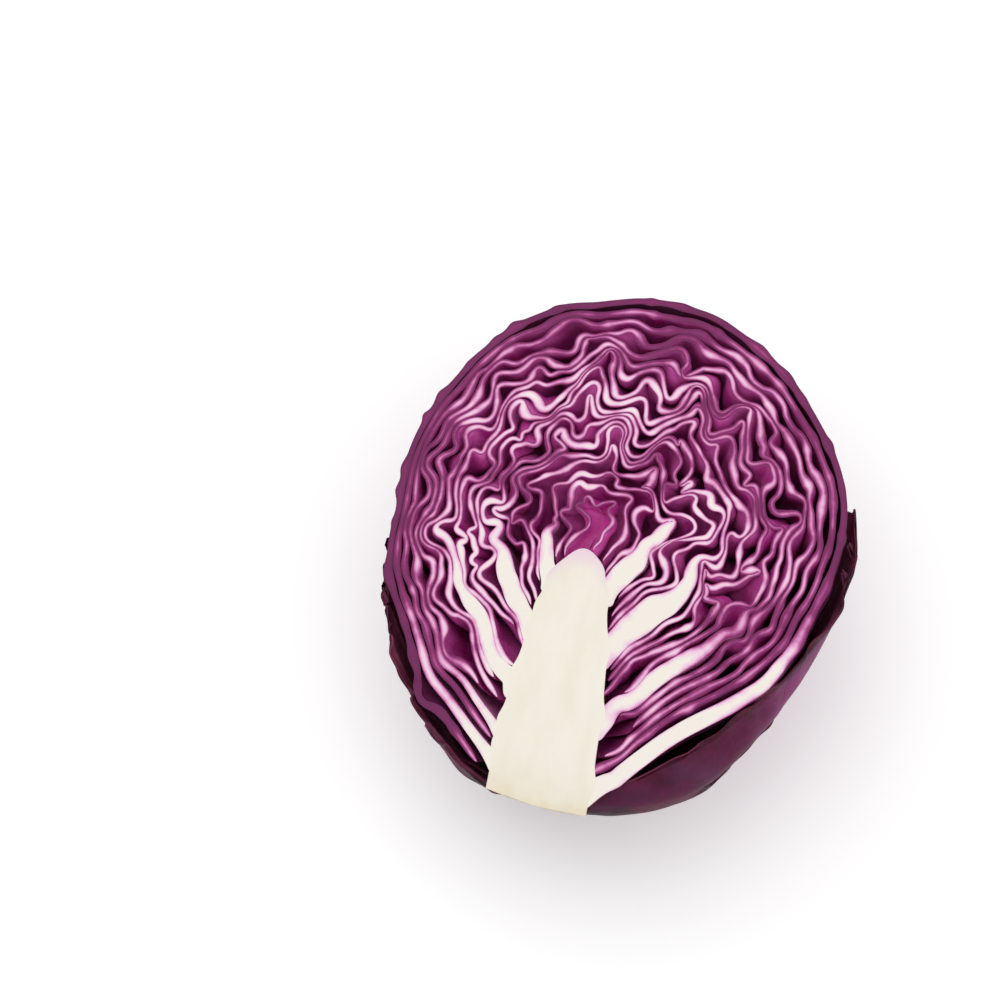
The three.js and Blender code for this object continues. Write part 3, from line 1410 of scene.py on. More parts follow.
    def found(self, cut: CutMap, spot: Spot, between: float) -> Push:
        """A spot by its place among the shells.

        Args:
            cut: where the shells come out on the cut face.
            spot: the spot.
            between: 0 to move it to the middle of a leaf, or 0.5 to move it midway between two.

        Returns:
            The push that it gives the leaves.
        """
        depth, along, pace = cut.nearest(spot)
        leaf = round((depth - self.first_shell) / self.leaf_step - between) + between
        shell = self.shell_of(leaf + 1)
        side = Side.RIGHT if along < 2 else Side.LEFT
        return Push(shell, along, spot.length / pace, spot.half, spot.half / self.millimetres(shell, side))

    def shell_of(self, number: float) -> float:
        """Shell depth of a leaf's middle."""
        return self.first_shell + (number - 1) * self.leaf_step

    def start_of(self, number: int, side: Side) -> float:
        """Height at which a leaf begins on one side: in the core for a rib, at it or off it for a blade.

        Args:
            number: the leaf's number.
            side: the side of the head.

        Returns:
            The height on its shell.
        """
        if number in self.ribs and self.ribs[number].side is side:
            return mix(*self.rib_start, self.shell_of(number))
        rng = Draws.STARTS.rng(2 * number + (side is Side.LEFT))
        return float(max(self.blade_start[0], rng.uniform(*self.blade_start)))

    def millimetres(self, shell: float, side: Side) -> float:
        """Millimetres to a unit of shell depth, near a shell on one side."""
        here, beyond = self.head.reach(np.array([shell, shell + 0.01]), side)
        return float(here - beyond) / 0.01

    def rib_share(self, rib: Rib, along: Array, turn: Array) -> Array:
        """How much of a rib is left on its leaf.

        Args:
            rib: the rib.
            along: place along the cut edge.
            turn: how far the place has turned towards the back.

        Returns:
            The share of the rib that is left at each place.
        """
        height = along if rib.side is Side.RIGHT else 4 - along
        thinning = Fade(self.rib_full * rib.end, (1 - self.rib_full) * rib.end)
        return (1 - thinning.at(height)) * bump(turn, self.rib_spread)

    @staticmethod
    def aside(x: Array, away: Array, room: Array) -> Array:
        """Shell depths pushed away from a place, so that they never pass each other."""
        return x + np.sign(away) * (np.hypot(away, room) - np.abs(away))

    def beside_ribs(self, x: Array | float, along: Array, turn: Array) -> Array:
        """Shell depth of a leaf once the ribs beside it have pushed it aside.

        Args:
            x: its own shell depth.
            along: place along the cut edge.
            turn: how far the place has turned towards the back.

        Returns:
            The shell depth at each place.
        """
        pushed = x + 0 * along * turn
        for number, rib in self.ribs.items():
            away = x - self.shell_of(number)
            room = (rib.half + self.rib_room) / self.millimetres(self.shell_of(number), rib.side)
            pushed = self.aside(pushed, away, room * self.rib_share(rib, along, turn))
        return pushed

    def spread(self, x: float, along: Array, turn: Array) -> Array:
        """Shell depth of a leaf once the ribs, side veins and hollows beside it have pushed it aside.

        Args:
            x: its own shell depth.
            along: place along the cut edge.
            turn: how far the place has turned towards the back.

        Returns:
            The shell depth at each place.
        """
        pushed = self.beside_ribs(x, along, turn)
        beside = [(vein, self.vein_turn) for vein in self.veins if vein.shell != x]
        for push, reach in beside + [(hollow, self.hollow_turn) for hollow in self.pushes]:
            room = push.room * bump(along - push.along, push.length) * bump(turn, reach)
            pushed = self.aside(pushed, pushed - self.beside_ribs(push.shell, along, turn), room)
        lumps = self.lump_mean + self.lumps.along(Draws.LUMPS.rng(), along * EDGE_UNIT)
        return pushed + self.lump * lumps * (1 - x) ** 2 * bump(turn, self.lump_turn)

    def grip(self, x: Array | float, along: Array, turn: Array) -> Array:
        """How freely the leaves fold: not at the skin, the ribs, the core, the eye or the back of the head.

        Args:
            x: shell depth.
            along: place along the cut edge.
            turn: how far the place has turned towards the back.

        Returns:
            How freely each place folds, 0 to 1.
        """
        free = self.skin_grip.at(x) * self.foot_grip.at(np.minimum(along, 4 - along))
        free = free * (1 - self.eye_hold * self.eye_grip.at(x))
        free = free * (1 - self.back_grip.at(np.sin(turn)))
        share, length = self.rib_grip
        for number, rib in self.ribs.items():
            height = along if rib.side is Side.RIGHT else 4 - along
            stiff = bump(x - self.shell_of(number), self.rib_grip_depth)
            free = free * (1 - stiff * (1 - Fade(share * rib.end, length).at(height)))
        return free

    def turns(self, number: int) -> Array:
        """How far each row of a leaf's corners has turned from the cut towards the back of the head.

        Args:
            number: the leaf's number.

        Returns:
            The turn of each row, from 0 on the cut to a right angle at the very back.
        """
        depths = np.array(self.skin_depths if number == 1 else self.depths)
        bowl = self.head.reach(np.array(self.shell_of(number)), Side.BACK)
        return np.append(PI / 2 * (1 - np.exp(-2 / PI * depths / bowl)), PI / 2)

    def middle(self, number: int, share: Array, turn: Array) -> tuple[Array, ...]:
        """The crumpled middle surface of a leaf.

        Args:
            number: the leaf's number.
            share: places along it from its right end to its left end, 0 to 1.
            turn: how far each place has turned towards the back.

        Returns:
            u, v, w, shell depth, and place along the cut edge.
        """
        shell = self.shell_of(number)
        fade = 1 - turn / (PI / 2)
        right = mix(self.start, self.start_of(number, Side.RIGHT), fade)
        left = 4 - mix(self.start, self.start_of(number, Side.LEFT), fade)
        along = mix(right, left, share)
        place = along * EDGE_UNIT * (1 - self.shorter * shell) + self.drift * np.sin(turn) * (1 - shell)
        wave = self.wandering.along(Draws.WANDER.rng(number), place)
        loose = self.wander_shell.at(shell) * self.wander_foot.at(np.minimum(along, 4 - along))
        if number in self.ribs:
            loose = loose * (1 - self.rib_share(self.ribs[number], along, turn))
        x = self.spread(shell, along, turn) + self.wander * self.leaf_step * np.tanh(wave) * loose * fade
        azimuth, height = self.head.on_arc(along, turn)
        u, v, w = self.head.on_shell(x, azimuth, height)
        grip = self.grip(shell, along, turn)
        for swirls in self.crush:
            u, v = swirls.carry(u, v, w, grip)
        return u, v, w, x, along

    def shares(self, number: int, turn: Array) -> Array:
        """Places along a leaf, evenly spaced on its crumpled cut edge and evenly by share at its back.

        Args:
            number: the leaf's number.
            turn: how far each depth has turned towards the back.

        Returns:
            The share of the way from the leaf's right end to its left end, along the leaf by depth.
        """
        fine_steps = 4000
        fine = np.linspace(0, 1, fine_steps)
        u, v, *_ = self.middle(number, fine, np.zeros_like(fine))
        run = np.concatenate([[0], np.cumsum(np.hypot(np.diff(u), np.diff(v)))])
        even = np.linspace(0, 1, int(run[-1] / self.corner_spacing))
        on_edge = np.interp(even * run[-1], run, fine)
        return mix(on_edge[:, None], even[:, None], self.back_even.at(np.sin(turn))[None, :])

    def sheet(self, number: int) -> Sheet:
        """The middle of a leaf, evened out a little along it.

        Args:
            number: the leaf's number.

        Returns:
            Its grid of corners.
        """
        turn = self.turns(number)
        share = self.shares(number, turn)
        u, v, w, x, along = self.middle(number, share, np.broadcast_to(turn, share.shape))
        return Sheet(turn, self.evened(u), self.evened(v), w, x, along)

    def half_thickness(self, number: int, sheet: Sheet) -> tuple[Array, Array]:
        """Half the thickness that a leaf would like to have, and how much of it is rib.

        Args:
            number: the leaf's number.
            sheet: its middle.

        Returns:
            Half the thickness in millimetres, and the share of rib.
        """
        along, turn = sheet.along, sheet.turn[None, :]
        run = np.broadcast_to(sheet.run(), along.shape)
        from_end = np.minimum(run, run.max() - run)
        half = np.full(along.shape, mix(*self.blade_half, self.shell_of(number)))
        half = self.swells.thicken(Draws.SWELLS.rng(number), half, run)
        half = half * mix(self.blade_end, 1, self.blade_end_fade.at(from_end))
        for vein in self.veins:
            if vein.shell == self.shell_of(number):
                swollen = bump(along - vein.along, vein.length) * bump(turn, self.vein_turn)
                half = np.maximum(half, vein.half * swollen)
        blade = half * np.sqrt(np.clip(from_end / self.end_round, 0, 1))
        if number not in self.ribs:
            return blade, np.zeros(along.shape)
        rib = self.ribs[number]
        share = self.rib_share(rib, along, turn)
        foot = run if rib.side is Side.RIGHT else run.max() - run
        fillet = self.fillet * np.exp(-np.maximum(foot - self.fillet_length, 0) / self.fillet_length)
        thick = (rib.half + fillet) * np.sqrt(np.clip(foot / self.foot_round, 0, 1))
        return mix(blade, thick, share), share

    @staticmethod
    def nearest(here: Array, there: Array) -> Array:
        """Distance from each point here to the nearest there, depth by depth, by every second point there.

        Args:
            here: u and v of the points of one leaf.
            there: u and v of the points of another.

        Returns:
            The distances.
        """
        least = np.empty(here.shape[:2], np.float32)
        for depth in range(here.shape[1]):
            a = here[:, depth].astype(np.float32)
            b = there[::2, min(depth, there.shape[1] - 1)].astype(np.float32)
            squares = (a[:, None, 0] - b[None, :, 0]) ** 2 + (a[:, None, 1] - b[None, :, 1]) ** 2
            least[:, depth] = np.sqrt(squares.min(axis=1))
        return least

    def evened(self, values: Array) -> Array:
        """Evens out values along a leaf.

        Args:
            values: a row for each corner along the leaf.

        Returns:
            The evened values.
        """
        weights = np.hanning(self.smoothing + 2)[1:-1] / np.hanning(self.smoothing + 2).sum()
        padded = np.pad(values, ((len(weights) // 2,) * 2, (0, 0)), mode="edge")
        return np.stack([np.convolve(column, weights, "valid") for column in padded.T], axis=1)

    @staticmethod
    def folded(outer: Array, rim: Array, inner: Array) -> Array:
        """Values from the back along the outer face, over the cut edge, and back along the inner face."""
        return np.concatenate([outer[:, ::-1], rim, inner], axis=1)

    def build_all(self) -> list[bpy.types.Object]:
        """Builds every leaf of the head, from the outside in.

        Returns:
            The finished objects.
        """
        sheets = [self.sheet(number) for number in range(1, self.count + 1)]
        flats = [sheet.flat() for sheet in sheets]
        pieces = []
        for index, sheet in enumerate(sheets):
            room = []
            for other in (index - 1, index + 1):
                if 0 <= other < len(sheets):
                    room.append(self.nearest(flats[index], flats[other]))
                else:
                    room.append(np.full(sheet.u.shape, FAR))
            pieces.append(self.build(index + 1, sheet, *room))
        return pieces

    def build(self, number: int, sheet: Sheet, outside: Array, inside: Array) -> bpy.types.Object:
        """Builds one leaf.

        Args:
            number: the leaf's number.
            sheet: its middle.
            outside: distance to the middle of the next leaf outside.
            inside: distance to the middle of the next leaf inside.

        Returns:
            The finished object.
        """
        half, ribbed = self.half_thickness(number, sheet)
        limit, bend = mix(*self.fill, ribbed), sheet.bends() / mix(*self.bend_play, ribbed)
        outward = np.minimum(np.minimum(half, limit * outside), 1 / np.maximum(-bend, 1 / FAR))
        inward = np.minimum(np.minimum(half, limit * inside), 1 / np.maximum(bend, 1 / FAR))
        outward, inward = self.evened(outward), self.evened(inward)
        outer, inner = self.faces(number, sheet, outward, inward, ribbed)
        rim, centre = (outer[:, :1] + inner[:, :1]) / 2, (outer + inner) / 2
        closing = self.folded(centre, rim, centre)
        points = np.concatenate([closing[:1], self.folded(outer, rim, inner), closing[-1:]])
        marks = self.marks(number, sheet, (outward + inward)[:, 0] / 2, ribbed)
        edge = outer.shape[1]
        return woven_piece(f"leaf_{number:02d}", points, marks, slice(edge - 1, edge + 1), self.smooth_angle)

    def faces(
        self, number: int, sheet: Sheet, outward: Array, inward: Array, ribbed: Array
    ) -> tuple[Array, Array]:
        """The two faces of a leaf.

        Args:
            number: the leaf's number.
            sheet: its middle.
            outward: distance from there to its outer face.
            inward: distance from there to its inner face.
            ribbed: how much of it is rib.

        Returns:
            The corners of its outer face and of its inner face, in the part's frame.
        """
        wave = np.tanh(self.knife.along(Draws.KNIFE.rng(number), sheet.run()))
        sink = self.knife_least + self.knife_play * (0.5 + 0.5 * wave) * (1 - ribbed[:, :1])
        normal = sheet.normals(self.level_depth)
        middle = np.stack([sheet.u, sheet.v, sheet.w], axis=-1)
        middle[..., 2] += sink * np.exp(-sheet.w / self.knife_depth)
        outer, inner = middle + normal * outward[..., None], middle - normal * inward[..., None]
        thin = self.flat_half / self.millimetres(0.0, Side.BACK)
        return (
            self.head.to_part(outer[..., 0], outer[..., 1], outer[..., 2], sheet.x - thin),
            self.head.to_part(inner[..., 0], inner[..., 1], inner[..., 2], sheet.x + thin),
        )

    def marks(self, number: int, sheet: Sheet, half: Array, ribbed: Array) -> dict[str, Array]:
        """The values at a leaf's corners that its finishes read.

        Args:
            number: the leaf's number.
            sheet: its middle.
            half: half its thickness on the cut.
            ribbed: how much of it is rib.

        Returns:
            How deep the flesh lies below the skin on the cut, how pale the skin is, and how near the cut,
            where the outermost leaf's outer skin takes painted shade.
        """
        run, shell, edge = sheet.run(), self.shell_of(number), ribbed.shape[1]
        off_core = np.minimum(run, run.max() - run)
        shown = mix(*self.flesh, self.flesh_fade.at(shell))
        shown = shown * mix(self.skin_flesh, 1, self.skin_flesh_fade.at(shell))
        (more, more_reach), (kept, lost) = self.foot_flesh, self.rib_rim_foot
        middle = half * shown + more * np.exp(-off_core[:, 0] / more_reach)
        flesh = np.zeros((len(run), 2 * edge + 1))
        rim = mix(*self.rib_rim, np.exp(-np.maximum(off_core - kept, 0) / lost))
        flesh[:, edge - 1 : edge + 2] = ribbed[:, :1] * rim
        flesh[:, edge] = np.maximum(middle, self.rib_flesh * half * ribbed[:, 0])
        pale = self.folded(ribbed, ribbed[:, :1], ribbed)
        # Painted shade: near the cut, this mark darkens the outer skin of the outermost leaf, in the crease
        # beside the loose outer leaves.
        down = np.exp(-np.maximum(sheet.w, 0) / self.edge_depth)
        near = self.folded(down, down[:, :1], down)
        marks = {"flesh": flesh, "pale": pale, "edge": near}
        return {name: np.pad(values, ((1, 1), (0, 0))) for name, values in marks.items()}


@dataclass(frozen=True)
class Wrapper:
    """A loose outer leaf.

    Args:
        shell: depth of the shell it lies on at its first edge, its middle and its last edge.
        azimuth: where it lies about the core, in degrees.
        tip: how high it reaches at those three.
        midrib: azimuth of its midrib, in degrees.
        opening: how far it stands off the head at those three.
        foot_rise: how much higher its foot leaves the core than its shell does.
        seed: of its ruffles and tears.
        torn: how deep its margin is torn, in shell height.
    """

    shell: tuple[float, float, float]
    azimuth: tuple[float, float]
    tip: tuple[float, float, float]
    midrib: float
    opening: tuple[float, float, float]
    foot_rise: float
    seed: int
    torn: float


@dataclass(frozen=True)
class Blade:
    """Where the corners of an outer leaf lie on it, as a grid across the leaf by share of its height.

    Args:
        across: 0 at its first edge, 1 at its middle and 2 at its last edge.
        share: 0 at its foot and 1 at its tip.
        tip: height of its tip on the shell.
        azimuth: angle about the core.
        aside: distance round the head from its midrib.
    """

    across: Array
    share: Array
    tip: Array
    azimuth: Array
    aside: Array

    def height(self) -> Array:
        """Height on the shell."""
        return self.tip * self.share

    def upward(self) -> Array:
        """Distance from the foot."""
        return self.height() * RISE_UNIT

    def from_sides(self) -> Array:
        """Distance from the nearer side edge."""
        return np.minimum(self.across, 2 - self.across) * SIDE_UNIT

    def from_tip(self) -> Array:
        """Distance from the tip."""
        return (1 - self.share) * self.tip * RISE_UNIT


@dataclass(frozen=True)
class VeinPattern:
    """The midrib and the side veins of an outer leaf.

    Args:
        rib_width: half the width of the midrib.
        rib_fade: how the midrib thins out, by distance from the foot.
        spacing: of the side veins where they leave the midrib.
        climb: how steeply they climb.
        curve: how much steeper they get further out.
        slant: the distance between two of them, as a share of their spacing.
        vein_width: half the width of a side vein.
        vein_fade: how the side veins thin out, by distance from the midrib.
        lowest: how far up the midrib the first one starts, in spacings.
        vein_height: height of a side vein, as a share of the midrib's.
    """

    rib_width: float = 2.6
    rib_fade: Fade = Fade(70, 90)
    spacing: float = 17
    climb: float = 0.75
    curve: float = 0.004
    slant: float = 0.8
    vein_width: float = 1.2
    vein_fade: Fade = Fade(20, 45)
    lowest: float = 0.4
    vein_height: float = 0.8

    def at(self, aside: Array, upward: Array) -> Array:
        """Where the veins lie, with those on one side of the midrib half a spacing higher than on the other.

        Args:
            aside: distance round the head from the midrib.
            upward: distance from the foot.

        Returns:
            1 on a vein, 0 between them.
        """
        midrib = bump(aside, self.rib_width) * (1 - self.rib_fade.at(upward))
        left_at = upward - self.climb * np.abs(aside) - self.curve * aside**2
        step = left_at / self.spacing + 0.5 * (aside > 0)
        off = np.abs(step - np.round(step)) * self.spacing * self.slant
        side_vein = bump(off, self.vein_width) * (1 - self.vein_fade.at(np.abs(aside))) * (step > self.lowest)
        return np.maximum(midrib, self.vein_height * side_vein)


@dataclass
class Wrappers:
    """The three loose outer leaves, with raised midribs and side veins and thin ruffled margins.

    Args:
        head: the shells that they lie on.
        half: half the thickness of a leaf.
        margin: how a leaf gets its full thickness, by distance from its edges.
        margin_half: the share of its thickness that is left at an edge.
        vein_half: how far a vein stands out on both faces.
        rib_half: how far a midrib stands out on the outer face.
        rib_width: half the width of a midrib.
        rib_start: how a midrib rises from the foot, by distance from there.
        rib_fade: how it thins out towards the tip, by the share of the way there.
        foot_half: how far the foot of a leaf is thicker on its inner face.
        foot_length: how far up that goes.
        belly: how far a leaf bulges at one place low on the right.
        belly_place: azimuth of that place in degrees, and height on the shell.
        belly_reach: how far the bulge reaches in both.
        first_edge: how a size changes near the first edge, by place across the leaf.
        first_half: how it changes from there all the way to the middle.
        last_half: how it changes from the middle all the way to the last edge.
        last_edge: how it changes near the last edge.
        tears: how the tears in a tip come and go.
        tear_span: millimetres to a unit across a leaf, as the tears lie.
        tear_depth: depth of a tear, as a share of how torn the leaf is.
        notches: how the notches in a side edge come and go.
        notch_seed: added to a leaf's seed for its notches.
        notch_depth: depth of a notch in degrees, where a leaf is torn by 1.
        notch_reach: how far across the leaf the notches move it.
        corner_cut: how much lower the upper corners are, as a share of the height.
        corner_reach: how far across the leaf a corner reaches.
        opening_start: how a leaf comes to stand off the head, by the share of the way to its tip.
        curl: how much further its tip stands off than its middle, as a share.
        curl_start: how that comes in, by the share of the way to the tip.
        ruffles: how the ruffles come and go along an edge.
        ruffle_start: how they come in, by the share of the way to the tip.
        side_ruffle: height of the ruffles at a side edge and how far in they reach.
        tip_ruffle: the same at the tip.
        least_girth: square of the least share of the head's girth that veins are spaced by.
        foot_rise_fade: how a leaf comes back to its shell above its foot, by height on the shell.
        vein_pattern: the midrib and side veins.
        thin: shell depth from a leaf's middle to each face where it is pressed flat.
        edge_reach: how far in from an edge the darker margin shows; it is partly the leaf's own darker margin
            and partly painted shade.
        foot_shade_reach: how far up from the foot the darker colour, painted shade, shows.
        inside_v: height along the core of a point well inside the head.
        rows: corners across a leaf.
        columns: corners up a leaf.
        smooth_angle: edges sharper than this, in degrees, stay sharp.
        leaves: the leaves by name.
    """

    head: Head
    half: float = 0.75
    margin: Fade = Fade(0, 6)
    margin_half: float = 0.35
    vein_half: float = 0.5
    rib_half: float = 2.4
    rib_width: float = 6
    rib_start: Fade = Fade(0, 14)
    rib_fade: Fade = Fade(0, 0.85)
    foot_half: float = 0.4
    foot_length: float = 5
    belly: float = 5.5
    belly_place: tuple[float, float] = (34, 0.24)
    belly_reach: tuple[float, float] = (24, 0.2)
    first_edge: Fade = Fade(0, 0.5)
    first_half: Fade = Fade(0, 1)
    last_half: Fade = Fade(1, 1)
    last_edge: Fade = Fade(1.5, 0.5)
    tears: Wave = Wave(7, 30, 9)
    tear_span: float = 60
    tear_depth: float = 1.6
    notches: Wave = Wave(10, 36, 7)
    notch_seed: int = 50
    notch_depth: float = 130
    notch_reach: float = 0.3
    corner_cut: float = 0.22
    corner_reach: float = 0.1
    opening_start: Fade = Fade(0, 0.12)
    curl: float = 0.5
    curl_start: Fade = Fade(0.6, 0.4)
    ruffles: Wave = Wave(9, 24, 5)
    ruffle_start: Fade = Fade(0, 0.3)
    side_ruffle: tuple[float, float] = (0.5, 7)
    tip_ruffle: tuple[float, float] = (0.8, 8)
    least_girth: float = 0.04
    foot_rise_fade: Fade = Fade(0, 0.35)
    vein_pattern: VeinPattern = VeinPattern()
    thin: float = 0.011
    edge_reach: float = 10
    foot_shade_reach: float = 54
    inside_v: float = 95
    rows: int = 150
    columns: int = 110
    smooth_angle: float = 60
    leaves: dict[str, Wrapper] = field(
        default_factory=lambda: {
            "right": Wrapper(
                shell=(0.062, 0.03, 0.03),
                azimuth=(1, 116),
                tip=(1.16, 1.42, 1.05),
                midrib=52,
                opening=(2.9, 0.3, 0.3),
                foot_rise=0,
                seed=31,
                torn=0.03,
            ),
            "left": Wrapper(
                shell=(0.03, 0.03, 0.03),
                azimuth=(122, 179),
                tip=(1.1, 1.0, 1.0),
                midrib=152,
                opening=(0.5, 0.8, 0.5),
                foot_rise=1,
                seed=32,
                torn=0.065,
            ),
            "back": Wrapper(
                shell=(0.012, -0.01, -0.01),
                azimuth=(20, 160),
                tip=(1.1, 1.86, 1.2),
                midrib=90,
                opening=(0, 0, 0.5),
                foot_rise=7,
                seed=33,
                torn=0.03,
            ),
        }
    )

    @staticmethod
    def between(sizes: tuple[float, float, float], early: Array, late: Array) -> Array:
        """A size between those at a leaf's first edge, middle and last edge, by its share of each way."""
        return mix(mix(sizes[0], sizes[1], early), sizes[2], late)

    def blade(self, leaf: Wrapper, rng: np.random.Generator) -> Blade:
        """Lays out the corners of a leaf, with its torn tip and notched sides.

        Args:
            leaf: the leaf.
            rng: source of its random draws.

        Returns:
            Where its corners lie on it.
        """
        across = np.linspace(0, 2, self.rows)[:, None]
        share = np.linspace(0, 1, self.columns)[None, :]
        tears = self.tears.along(rng, across * self.tear_span)
        tip = self.between(leaf.tip, self.first_half.at(across), self.last_half.at(across))
        tip = tip - self.tear_depth * leaf.torn * (1 - np.exp(-(tears**2)))
        first, last = bump(across, self.corner_reach), bump(2 - across, self.corner_reach)
        tip = tip * (1 - self.corner_cut * first - self.corner_cut * last)
        height = tip * share
        notches = self.notches.along(np.random.default_rng(leaf.seed + self.notch_seed), height * RISE_UNIT)
        notches = self.notch_depth * leaf.torn * (1 - np.exp(-(notches**2)))
        notches = notches * (bump(across, self.notch_reach) - bump(2 - across, self.notch_reach))
        azimuth = np.radians(mix(*leaf.azimuth, across / 2) + notches)
        wide = np.sqrt(np.clip(np.sin(height * PI / 2), self.least_girth, 1))
        girth = self.head.reach(np.array(0.0), Side.BACK) * wide
        return Blade(across, share, tip, azimuth, (azimuth - math.radians(leaf.midrib)) * girth)

    def away(self, middle: Array) -> Array:
        """Directions across a leaf, away from the head.

        Args:
            middle: the corners of its middle.

        Returns:
            A direction for each corner.
        """
        normal = unit(np.cross(np.gradient(middle, axis=0), np.gradient(middle, axis=1)))
        inside = np.array([self.head.centre, self.inside_v, 0])
        return np.where((normal * (middle - inside)).sum(-1, keepdims=True) > 0, normal, -normal)

    def lift(self, leaf: Wrapper, blade: Blade, rng: np.random.Generator) -> Array:
        """How far a leaf stands off the head.

        Args:
            leaf: the leaf.
            blade: where its corners lie on it.
            rng: source of its random draws.

        Returns:
            The distance at each corner.
        """
        across, share = blade.across, blade.share
        opening = self.between(leaf.opening, self.first_edge.at(across), self.last_half.at(across))
        (side, side_reach), (tip, tip_reach) = self.side_ruffle, self.tip_ruffle
        ruffle = self.ruffles.along(rng, blade.upward()) * bump(blade.from_sides(), side_reach) * side
        ruffle = ruffle + self.ruffles.along(rng, blade.aside) * bump(blade.from_tip(), tip_reach) * tip
        lift = opening * self.opening_start.at(share) * (1 + self.curl * self.curl_start.at(share))
        lift = lift + ruffle * self.ruffle_start.at(share)
        (azimuth, height), (reach, rise) = self.belly_place, self.belly_reach
        bulge = self.belly * bump(np.degrees(blade.azimuth) - azimuth, reach)
        return lift + bulge * bump(blade.height() - height, rise)

    @staticmethod
    def wrapped(outer: Array, inner: Array) -> Array:
        """Values round a leaf, closed at its edges.

        Args:
            outer: the values on its outer face.
            inner: the values on its inner face.

        Returns:
            The values up its outer face and down its inner face.
        """
        rings = []
        for front, back in ((outer, inner), ((outer + inner) / 2,) * 2):
            foot, tip = (front[:, :1] + back[:, :1]) / 2, (front[:, -1:] + back[:, -1:]) / 2
            rings.append(np.concatenate([foot, front, tip, back[:, ::-1], foot], axis=1))
        ring, closing = rings
        return np.concatenate([closing[:1], ring, closing[-1:]])

    def build(self, name: str) -> bpy.types.Object:
        """Builds one of the outer leaves.

        Args:
            name: of the leaf.

        Returns:
            The finished object.
        """
        leaf = self.leaves[name]
        rng = np.random.default_rng(leaf.seed)
        blade = self.blade(leaf, rng)
        height, upward = blade.height(), blade.upward()
        shell = self.between(leaf.shell, self.first_edge.at(blade.across), self.last_edge.at(blade.across))
        u, v, w = self.head.on_shell(shell + 0 * height, blade.azimuth, height)
        risen = v + leaf.foot_rise * (1 - self.foot_rise_fade.at(height))
        middle = np.stack([u, risen, w], axis=-1)
        normal = self.away(middle)
        vein = self.vein_pattern.at(blade.aside, upward)
        edge = np.minimum(blade.from_sides(), blade.from_tip())
        lift = self.lift(leaf, blade, rng)
        thick = self.half * mix(self.margin_half, 1, self.margin.at(edge)) + self.vein_half * vein
        ribbed = bump(blade.aside, self.rib_width) * (1 - self.rib_fade.at(blade.share))
        ribbed = ribbed * self.rib_start.at(upward)
        outer = middle + normal * (lift + (thick + self.rib_half * ribbed))[..., None]
        foot = self.foot_half * np.exp(-upward / self.foot_length)
        inner = middle + normal * (lift - (thick + foot))[..., None]
        outer = self.head.to_part(outer[..., 0], outer[..., 1], outer[..., 2], shell - self.thin)
        inner = self.head.to_part(inner[..., 0], inner[..., 1], inner[..., 2], shell + self.thin)
        veined = np.maximum(vein, ribbed)
        # Painted shade: the dark mark lies towards the foot, which is in shadow, and near the margins, where
        # it is partly the leaf's own darker tone.
        dark = np.maximum(bump(edge, self.edge_reach), bump(upward, self.foot_shade_reach))
        marks = {"vein": self.wrapped(veined, veined), "edge": self.wrapped(dark, dark)}
        inside = slice(self.columns + 1, 2 * self.columns + 2)
        return woven_piece(f"outer_leaf_{name}", self.wrapped(outer, inner), marks, inside, self.smooth_angle)


@dataclass(frozen=True)
class Lamp:
    """A soft square light.

    Args:
        name: of the light.
        place: where it hangs, in metres.
        size: of its side, in metres.
        power: in watts.
    """

    name: str
    place: tuple[float, float, float]
    size: float
    power: float


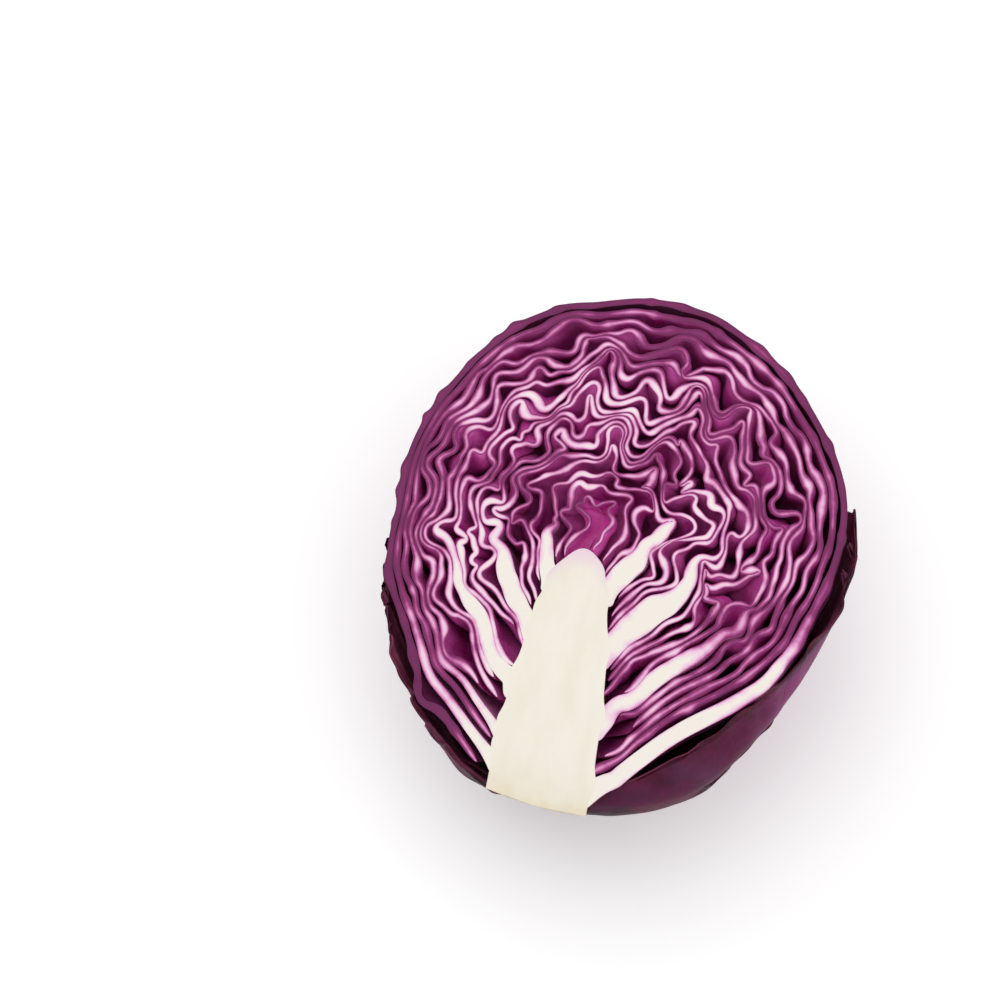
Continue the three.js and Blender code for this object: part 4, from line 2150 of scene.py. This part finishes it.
@dataclass
class Studio:
    """The floor, the lights and the camera.

    Args:
        aim: the middle of the head, which the camera and the lights point at.
        azimuth: angle of the camera round the head.
        elevation: angle of the camera above the floor.
        distance: of the camera, in metres.
        lens: focal length.
        shift: of the picture, as a share of its width.
        lamps: the lights.
        sky: brightness of the surroundings.
        floor_size: side of the floor, in metres.
        floor_pale: colour of the floor.
        floor_shade: colour of its darker patches.
        floor_patches: number of those in a metre.
        floor_roughness: of the floor.
        floor_glow: how much the floor shines by itself.
    """

    aim: Vector
    azimuth: float = math.radians(10.7)
    elevation: float = math.radians(70)
    distance: float = 0.95
    lens: float = 102.6
    shift: tuple[float, float] = (-0.122, 0.074)
    lamps: tuple[Lamp, ...] = (
        Lamp("key_light", (-0.35, 0.3, 1.15), 1.2, 4),
        Lamp("fill_light", (0.6, -0.2, 1.0), 1.0, 1.55),
    )
    sky: float = 0.7
    floor_size: float = 6
    floor_pale: Colour = tint(252, 252, 252)
    floor_shade: Colour = tint(249, 249, 249)
    floor_patches: float = 3
    floor_roughness: float = 0.8
    floor_glow: float = 0.2

    def place_camera(self) -> None:
        """Adds the camera, looking down on the cut face from the stem end."""
        level = math.cos(self.elevation)
        aside, ahead = math.sin(self.azimuth) * level, -math.cos(self.azimuth) * level
        away = Vector((aside, ahead, math.sin(self.elevation)))
        camera = bpy.data.objects.new("camera", bpy.data.cameras.new("camera"))
        camera.location = self.aim + away * self.distance
        camera.rotation_euler = (-away).to_track_quat("-Z", "Y").to_euler()
        camera.data.lens = self.lens
        camera.data.shift_x, camera.data.shift_y = self.shift
        camera.data.clip_start = 0.01
        bpy.context.scene.collection.objects.link(camera)
        bpy.context.scene.camera = camera

    def light(self) -> None:
        """Adds the soft lights, which point at the head, and the pale surroundings."""
        for lamp in self.lamps:
            source = bpy.data.lights.new(lamp.name, "AREA")
            source.size = lamp.size
            source.energy = lamp.power
            light = bpy.data.objects.new(lamp.name, source)
            light.location = lamp.place
            light.rotation_euler = (self.aim - Vector(lamp.place)).to_track_quat("-Z", "Y").to_euler()
            bpy.context.scene.collection.objects.link(light)
        world = bpy.data.worlds.new("surroundings")
        world.use_nodes = True
        background = world.node_tree.nodes["Background"]
        background.inputs["Color"].default_value = (1, 1, 1, 1)
        background.inputs["Strength"].default_value = self.sky
        bpy.context.scene.world = world

    def lay_floor(self) -> None:
        """Adds the plain pale floor."""
        deselect_all()
        bpy.ops.mesh.primitive_plane_add(size=self.floor_size, location=(0, 0, 0))
        floor = bpy.context.object
        floor.name = "floor"
        nodes = Nodes("floor_paint")
        paint = nodes.blend(nodes.noise(self.floor_patches), self.floor_pale, self.floor_shade)
        glow = {"Emission_Color": (1, 1, 1, 1), "Emission_Strength": self.floor_glow}
        floor.data.materials.append(nodes.surface(paint, Roughness=self.floor_roughness, **glow))
        floor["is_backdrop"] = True


def rib_feet(head: Head, leaves: HeadLeaves) -> list[tuple[Side, float]]:
    """Where the cut ribs, and a few thinner ones near the tip, leave the core.

    Args:
        head: the shells.
        leaves: the leaves of the head.

    Returns:
        The side of the head and the height along the core of each.
    """
    feet = [(number, rib.side) for number, rib in leaves.ribs.items()]
    feet += [(14, Side.LEFT), (17, Side.LEFT), (17, Side.RIGHT)]
    return [(side, mix(*head.sides[side].base, leaves.shell_of(number))) for number, side in feet]


def main() -> None:
    """Loads the frame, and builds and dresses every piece."""
    logging.basicConfig(level=logging.INFO, format="%(name)s: %(message)s")
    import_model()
    solid_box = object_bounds()
    deselect_all()
    low, high = (Vector(corner) for corner in solid_box)
    studio = Studio(aim=(low + high) / 2)
    studio.place_camera()
    studio.light()
    studio.lay_floor()
    head = Head()
    leaves = HeadLeaves(head)
    cut, skin, outer_skin, flesh = (
        finish.material() for finish in (CutTissue(), LeafSkin(), OuterSkin(), CoreFlesh())
    )
    hand_over(Core(head, rib_feet(head, leaves)).build(), "core", [flesh, flesh])
    heart = LeafSkin(name="heart_skin", deep=tint(190, 38, 142), light=tint(216, 92, 178)).material()
    skins = {1: outer_skin, leaves.count: heart}
    for number, piece in enumerate(leaves.build_all(), start=1):
        hand_over(piece, f"head_leaf_{number:02d}", [skins.get(number, skin), cut])
    wrappers = Wrappers(head)
    # Painted light: the inner faces of the loose leaves take a lighter, redder copy of the outer skin; the
    # redder tone with less bloom is their own, the extra lightness is painted light against the shade in the
    # gap under each leaf, and the margin and foot still take painted shade.
    inner_skin_painted_light = OuterSkin(
        name="outer_leaf_inside_painted_light",
        deep=tint(146, 60, 92),
        mid=tint(184, 92, 126),
        bloom=tint(196, 124, 158),
        vein=tint(206, 132, 170),
        edge=tint(110, 44, 70),
        shade=tint(84, 34, 56),
    ).material()
    for name in wrappers.leaves:
        hand_over(wrappers.build(name), f"wrapper_leaf_{name}", [outer_skin, inner_skin_painted_light])
    bpy.context.scene.view_settings.view_transform = "Standard"


if __name__ == "__main__":
    main()
